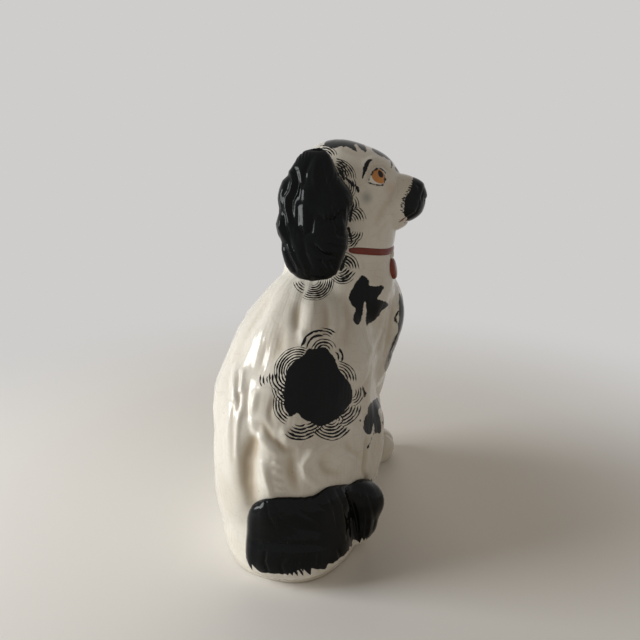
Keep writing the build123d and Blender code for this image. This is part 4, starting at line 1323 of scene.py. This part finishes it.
rear_y = edge_depth(ear_rear_edge)
face_y = edge_depth(ear_face_edge)
ear_share = (ear_height - ear_tip_height) / (ear_top_height - ear_tip_height)
ear_swell = np.clip(1 - np.abs(2 * ear_share - 0.96) ** 2.4, 0, 1) ** 0.5
ear_depth = ear_half_depth * ear_swell * (1.04 - 0.14 * ear_share)
ear_middle = np.array([(160, -31.4), (177, -31.3), (191, -30.6), (208, -28.0), (229, -24.0)])
ear_middle_x = np.interp(ear_height, ear_middle[:, 0], ear_middle[:, 1])
round_cos = np.sign(np.cos(ear_turn)) * np.abs(np.cos(ear_turn)) ** ear_squareness
round_sin = np.sign(np.sin(ear_turn)) * np.abs(np.sin(ear_turn)) ** ear_squareness
end_round = np.clip(1 - np.abs(2 * ear_share - 1) ** 70, 0.0, 1) ** 0.5
ear_half = (rear_y - face_y) / 2
ear_grid = np.stack(
    [
        ear_middle_x + ear_depth * round_cos,
        (rear_y + face_y) / 2 + ear_half * end_round * round_sin,
        ear_height + 0 * ear_turn,
    ],
    -1,
)
ear_normal = outward(ear_grid)
ear_place = photo_place(ear_grid)
ear_out = smooth_step(-ear_normal[..., 0], -0.15, 0.35)
ear_lift = ear_out * ridges(ear_place, ear_relief)
ear_hair = np.sin((ear_place[..., 0] + 2.2 * ripple(ear_grid, 19, 21)) * 2 * np.pi / ear_hair_pitch)
ear_hair *= np.clip(ripple(ear_grid, 16, 22), 0, 1)
ear_lift += ear_hair_relief * ear_hair
ear_lift *= smooth_step(ear_share, 0.0, 0.05) * smooth_step(-ear_share, -1.0, -0.95)
ear_surface = ear_grid + ear_lift[..., None] * ear_normal

ear_material, ear_tree, ear_shader = new_material("black_enamel")
ear_black = add_node(ear_tree, "Group", node_tree=black_enamel).outputs["Color"]
ear_dimple = noise(ear_tree, object_place(ear_tree), 330.0, 1.0)
ear_gloss = remap(ear_tree, ear_dimple, 0.3, 0.7, 0.09, 0.17)
ear_bump = bump(ear_tree, ear_dimple, 0.22, 0.0003)
ear_inputs = {"Base Color": ear_black, "Roughness": ear_gloss, "IOR": 1.21, "Normal": ear_bump}
fill_inputs(ear_tree, ear_shader, ear_inputs)


def closed_tube(name, grid, marks=None):
    """closed piece of a grid whose last column is its first, with caps, facing out by its signed volume"""
    ids = point_numbers(grid)
    ids[:, -1] = ids[:, 0]
    ends = ids.size + np.arange(2)
    low = np.stack([ids[0, 1:], ids[0, :-1], 0 * ids[0, 1:] + ends[0]], -1)
    high = np.stack([ids[-1, :-1], ids[-1, 1:], 0 * ids[-1, 1:] + ends[1]], -1)
    faces = [quads(ids), low, high]
    points = np.concatenate([grid.reshape(-1, 3), grid[:1].mean(1), grid[-1:].mean(1)])
    a, b, c, d = [points[faces[0][:, corner]] - points.mean(0) for corner in range(4)]
    volume = (np.cross(a, b) * c).sum() + (np.cross(a, c) * d).sum()
    if volume < 0:
        faces = [group[:, ::-1] for group in faces]
    kept = {}
    for mark, values in (marks or {}).items():
        flat = values.reshape(-1, *values.shape[2:])
        kept[mark] = np.concatenate([flat, values[:1].mean(1), values[-1:].mean(1)])
    return make_piece(name, points, faces, kept)


mirrored_ear = ear_surface * np.array([-1.0, 1.0, 1.0]) + np.array([2 * head_middle, 0.0, 0.0])
for ear_node, ear_shape in (("right_ear", ear_surface), ("left_ear", mirrored_ear)):
    ear = closed_tube("enamelled_" + ear_node, ear_shape)
    ear.data.materials.append(ear_material)
    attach(ear, "root")
    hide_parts(ear_node)


# Tail: a solid brush in two lobes, laid round the foot of the rump and enamelled black
# down to a ragged edge, below which the white glaze shows.
tail_stations = np.array(
    [
        (163, 0.062, 0.155, 0.01),
        (166, 0.03, 0.188, 0.03),
        (172, 0.018, 0.216, 0.04),
        (184, 0.018, 0.225, 0.043),
        (195, 0.018, 0.22, 0.043),
        (203, 0.018, 0.231, 0.042),
        (213, 0.02, 0.221, 0.04),
        (221.5, 0.024, 0.209, 0.03),
        (228, 0.02, 0.21, 0.054),
        (236, 0.02, 0.2, 0.07),
        (244, 0.028, 0.178, 0.063),
        (249, 0.058, 0.14, 0.03),
    ]
)
tail_sink = 4.0
tail_first_degree = 163.0
tail_last_degree = 249.0
tail_white_height = 5.2
tail_streak_pitch = 2.5
tail_streak_relief = 0.13
brush_teeth = 28
tooth_height = 5
pixels_per_millimetre = 1.9
tail_columns = 360
tail_rows = 96


def smooth_line(places, rows):
    """values of a table's columns between its rows, on a curve that keeps the slope at each row"""
    where = rows[:, 0]
    slopes = np.gradient(rows[:, 1:], where, axis=0)
    index = np.clip(np.searchsorted(where, places, side="right") - 1, 0, len(where) - 2)
    step = where[index + 1] - where[index]
    s = ((places - where[index]) / step)[:, None]
    low, high = rows[index, 1:], rows[index + 1, 1:]
    low_slope, high_slope = slopes[index] * step[:, None], slopes[index + 1] * step[:, None]
    bend = (2 * s**3 - 3 * s**2 + 1) * low + (s**3 - 2 * s**2 + s) * low_slope
    return bend + (3 * s**2 - 2 * s**3) * high + (s**3 - s**2) * high_slope


tail_degrees = np.linspace(tail_first_degree, tail_last_degree, tail_columns + 1)
tail_angle = np.radians(tail_degrees)[:, None]
tail_share = (tail_angle - tail_angle[0]) / (tail_angle[-1] - tail_angle[0])
tail_bottom, tail_top, tail_thick = (smooth_line(tail_degrees, tail_stations) * figure_size[2]).T[:, :, None]
tail_turn = np.linspace(0, 2 * np.pi, tail_rows + 1)
tail_z = (tail_top + tail_bottom) / 2 + (tail_top - tail_bottom) / 2 * np.sin(tail_turn)
tail_out = np.where(np.cos(tail_turn) > 0, tail_thick, tail_sink) * np.cos(tail_turn)
tail_axis = axis_at(tail_z)
tail_reach = body_reach(tail_angle + 0 * tail_z, tail_z) + tail_out
tail_grid = tail_axis + tail_reach[..., None] * level_rays(tail_angle)
tail_normal = -outward(tail_grid)
tail_place = photo_place(tail_grid)
tail_relief = [
    (-0.9, 1.8, [(250, 540), (262, 545), (276, 543), (289.6, 546.8), (310.7, 545.5), (330, 546.8)]),
    (0.5, 3, [(262, 551), (290, 553), (320, 552)]),
    (-0.5, 1.5, [(274.6, 504), (280, 514), (288, 523), (300, 529), (317, 532)]),
    (-0.5, 1.5, [(266, 502), (268, 516), (276, 530)]),
    (-0.5, 1.5, [(290, 502), (302, 513), (318, 521)]),
    (-0.5, 1.5, [(310, 500), (322, 508), (336, 512)]),
    (-1.2, 1.6, [(347, 489), (352.6, 503), (356.6, 520), (359.2, 540)]),
    (-0.5, 1.4, [(336, 490), (344, 506), (348, 524), (347, 540)]),
    (-0.5, 1.4, [(326, 492), (334, 508), (337, 526)]),
    (0.5, 1.6, [(341, 489), (348.6, 505), (352.4, 524), (353, 540)]),
    (-0.5, 1.2, [(360, 489), (365, 504), (367, 520), (365, 536)]),
    (-0.5, 1.2, [(368, 495), (373, 508), (375, 521), (372, 533)]),
    (0.4, 1.2, [(364, 489), (369, 504), (371, 521), (368, 536)]),
    (-0.6, 1.6, [(300, 556), (296, 566), (300, 577)]),
    (-0.6, 1.6, [(286, 556), (280, 565), (283, 573)]),
    (-0.6, 1.6, [(318, 556), (318, 566), (322, 573)]),
    (-0.6, 1.6, [(338, 550), (341, 558), (341, 565)]),
    (-0.6, 1.6, [(266, 552), (264, 562), (268, 572)]),
]
tail_facing = (tail_normal * (camera_eye - tail_grid)).sum(-1)
tail_lift = ridges(tail_place, tail_relief) * smooth_step(tail_facing, 0, 60)
tail_streak = tail_grid[..., 2] + 0.35 * tail_grid[..., 1] + 2 * ripple(tail_grid, 26, 31)
tail_streak = np.sin(tail_streak * 2 * np.pi / tail_streak_pitch)
tail_lift += tail_streak_relief * tail_streak * np.clip(0.5 + ripple(tail_grid, 17, 32), 0, 1)
tail_lift *= smooth_step(tail_share, 0, 0.04) * smooth_step(-tail_share, -1.0, -0.96)
tail_surface = tail_grid + tail_lift[..., None] * tail_normal
tooth_count = 2 * brush_teeth * tail_share + 1.6 * np.sin(tail_share * 23) + 0.16 * tail_grid[..., 2]
tail_teeth = np.abs(tooth_count % 2 - 1)
tail_bottom_edge = tail_bottom + tail_white_height + 2.2 * np.sin(np.pi * np.clip(1.4 * tail_share, 0, 1))
tail_teeth = (tail_teeth - 0.4) * np.clip(0.6 + 0.7 * np.sin(tail_share * 19 + 1), 0.1, 1)
tail_white = tail_surface[..., 2] - tail_bottom_edge - tooth_height * tail_teeth
tail_white = tail_white * pixels_per_millimetre
tail_combs = [
    ([(297, 571), (303.5, 578), (309, 584)], [1.0, 1.4, 1.4]),
    ([(301, 569.5), (307.5, 577), (313, 583)], [0.7, 1.2, 1.2]),
]
tail_scratches = most_inside(tail_place, [], tail_combs)
tail_marks = {"ink": within_reach(np.minimum(tail_white, -tail_scratches)), "hollow": 0 * tail_white}
tail_piece = closed_tube("enamelled_tail", tail_surface, tail_marks)
tail_piece.data.materials.append(earthenware("glazed_tail", has_combs=False))
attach(tail_piece, "root")
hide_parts("tail")


# Forelegs: two legs with paws, moulded apart and stood in front of the chest. Each has three
# grooves between its toes and a fringe of hair down its back.
leg_forms = {
    "shank": ((0.424, -0.270, 0.235), (0.082, 0.140, 0.226), (-14, 0, 4)),
    "paw": ((0.575, -0.356, 0.040), (0.120, 0.147, 0.056), (0, 0, 0)),
}
leg_axis = np.array([(0, 0.555, -0.345), (0.09, 0.5, -0.315), (0.235, 0.424, -0.27), (0.46, 0.335, -0.225)])
leg_blend = 1.5
leg_top = 101.0
shoulder_swell = 0.3
swell_heights = (62, 94)
toe_places = (-0.62, 0.0, 0.62)
toe_groove_width = 0.10
toe_groove_depth = 1.5
fringe_depth = 0.45
ankle_height = 25
ankle_depth = 0.9
crown_start = 88
sole_round = 1.2
sole_round_height = 1.4
leg_rows = 180
leg_columns = 144
leg_share = np.linspace(0, 1, leg_rows + 1)
leg_height = (leg_top * leg_share)[:, None]
leg_turn = np.linspace(0, 2 * np.pi, leg_columns + 1)
leg_origin = axis_at(leg_height + 0 * leg_turn, leg_axis)
leg_rays = level_rays(leg_turn) + 0 * leg_origin
leg_reach = blended([exit_distance(leg_origin, leg_rays, form) for form in leg_forms.values()], leg_blend)
leg_reach = leg_reach * (1 + shoulder_swell * smooth_step(leg_height, *swell_heights))
toe_turn = (leg_turn + 0.25 + np.pi) % (2 * np.pi) - np.pi
toe_grooves = sum(np.exp(-(((toe_turn - place) / toe_groove_width) ** 2)) for place in toe_places)
paw_part = smooth_step(-leg_height, -ankle_height, -15)
fringe = np.sin(leg_turn * 11 + 1.4 * np.sin(leg_height / 7)) * smooth_step(-np.cos(leg_turn), 0.0, 0.6)
leg_lift = -toe_groove_depth * toe_grooves * paw_part * smooth_step(leg_height, 0.5, 4)
leg_lift += fringe_depth * (fringe - 1) * (1 - paw_part) * smooth_step(-leg_height, -98, -80)
ankle_dip = np.exp(-(((leg_height - ankle_height) / 5) ** 2)) * smooth_step(np.cos(leg_turn), -0.2, 0.8)
leg_lift -= ankle_depth * ankle_dip
crown_share = np.clip((leg_height - crown_start) / (leg_top - crown_start), 0, 1)
leg_crown = np.sqrt(np.clip(1 - crown_share**2, 0, 1))
sole_share = 1 - np.clip(leg_height / sole_round_height, 0, 1)
leg_round = sole_round * (1 - np.sqrt(np.clip(1 - sole_share**2, 0, 1)))
leg_grid = leg_origin + np.maximum((leg_reach + leg_lift - leg_round) * leg_crown, 0.3)[..., None] * leg_rays
leg_mirror = leg_grid * np.array([1.0, -1.0, 1.0]) + np.array([0.0, 2 * parting_depth, 0.0])
leg_ink = np.full(leg_lift.shape, -mark_reach)
# the toe grooves, fringe dips and ankle dip are darkened in the glaze: pooled glaze and painted shade
leg_marks = {"ink": leg_ink, "hollow": np.clip(-leg_lift / 1.6, 0, 0.8)}
leg_material = earthenware("glazed_leg", has_combs=False)
for leg_node, leg_shape in (("right_foreleg", leg_grid), ("left_foreleg", leg_mirror)):
    leg = closed_tube("glazed_" + leg_node, leg_shape, leg_marks)
    leg.data.materials.append(leg_material)
    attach(leg, "root")
    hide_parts(leg_node)


# Collar: a low rounded strap over the neck seam, from ear to ear round the throat, painted
# brick red in one brush stroke.
collar_half_height = 2.1
collar_proud = 0.9
collar_sink = 1.5
collar_half_turn = 47.0
collar_end_lift = 3.0
collar_rows = 240
collar_columns = 40
collar_share = np.linspace(-1, 1, collar_rows + 1)[:, None]
collar_angle = np.radians(-90 + collar_half_turn * collar_share)
collar_turn = np.linspace(0, 2 * np.pi, collar_columns + 1)
collar_end = np.sqrt(np.clip(1 - np.abs(collar_share) ** 16, 0, 1))
collar_lift = collar_end_lift * smooth_step(np.abs(collar_share), 0.15, 1.0)
collar_z = neck_seam_height + collar_lift + collar_half_height * collar_end * np.sin(collar_turn)
collar_out = np.where(np.cos(collar_turn) > 0, collar_proud, collar_sink) * np.cos(collar_turn)
collar_out = collar_out * (0.3 + 0.7 * collar_end) + 0.3 * collar_lift
collar_reach = body_reach(collar_angle, neck_seam_height) + collar_out
collar_grid = axis_at(neck_seam_height) + collar_reach[..., None] * level_rays(collar_angle)
collar_grid[..., 2] = collar_z
collar_piece = closed_tube("enamelled_collar", collar_grid)
red_enamel, red_tree, red_surface = new_material("red_enamel")
red_uneven = noise(red_tree, object_place(red_tree), 260.0, 3.0)
red_tone = mix_colour(red_tree, red_uneven, (0.13, 0.018, 0.009, 1), (0.27, 0.045, 0.024, 1))
red_gloss = remap(red_tree, red_uneven, 0.3, 0.7, 0.16, 0.26)
red_bump = bump(red_tree, red_uneven, 0.3, 0.0002)
red_inputs = {"Base Color": red_tone, "Roughness": red_gloss, "IOR": 1.35, "Normal": red_bump}
fill_inputs(red_tree, red_surface, red_inputs)
collar_piece.data.materials.append(red_enamel)
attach(collar_piece, "root")
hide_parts("collar")


# Locket: an oval drop of clay on a ring, pressed on the throat below the collar. The drop
# is painted the collar's red, and its ring is left in the white glaze.
locket_half_height = 6.5
locket_half_width = 5.4
locket_thickness = 2.4
locket_sink = 1.2
locket_slope = 0.2
ring_radius = 2.2
ring_wire = 0.8
ring_height = neck_seam_height - 0.2 - ring_radius - ring_wire
locket_height = ring_height - ring_radius + ring_wire - locket_half_height
throat_angle = np.radians(-90.0)
locket_turn = np.linspace(0, 2 * np.pi, 97)
locket_depth = np.linspace(0, 1, 33)[:, None]
locket_dome = np.sin(locket_depth * np.pi / 2)
locket_scale = np.cos(np.minimum(locket_depth, 0.995) * np.pi / 2) ** 0.55
throat_front = axis_at(locket_height)[1] + body_reach(throat_angle, locket_height) * np.sin(throat_angle)
locket_x = head_middle + locket_half_width * locket_scale * np.cos(locket_turn)
locket_rise = locket_half_height * locket_scale * np.sin(locket_turn)
locket_y = throat_front - locket_thickness * locket_dome + locket_slope * locket_rise
front_face = np.stack([locket_x, locket_y, locket_height + locket_rise], -1)
back_face = front_face[:1] + np.array([0.0, locket_sink, 0.0])
locket_piece = closed_tube("enamelled_locket", np.concatenate([back_face, front_face]))
locket_piece.data.materials.append(red_enamel)
ring_turn = np.linspace(0, 2 * np.pi, 65)[:, None]
ring_round = np.linspace(0, 2 * np.pi, 25)
ring_out = ring_radius + ring_wire * np.cos(ring_round)
ring_x = head_middle + ring_out * np.cos(ring_turn)
ring_y = throat_front + 0.4 - ring_wire * np.sin(ring_round) + 0 * ring_turn
ring_grid = np.stack([ring_x, ring_y, ring_height + ring_out * np.sin(ring_turn)], -1)
ring_ids = point_numbers(ring_grid)
ring_ids[:, -1] = ring_ids[:, 0]
ring_ids[-1] = ring_ids[0]
ring_marks = {"hollow": 0 * ring_ids.ravel()}
ring_piece = make_piece("glazed_locket_ring", ring_grid.reshape(-1, 3), [quads(ring_ids)], ring_marks)
ring_piece.data.materials.append(earthenware("glazed_ring", has_ink=False, has_combs=False))
for drop_part, drop_slot in ((locket_piece, "red_enamel"), (ring_piece, "white_glaze")):
    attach(drop_part, "root")
    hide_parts("locket")
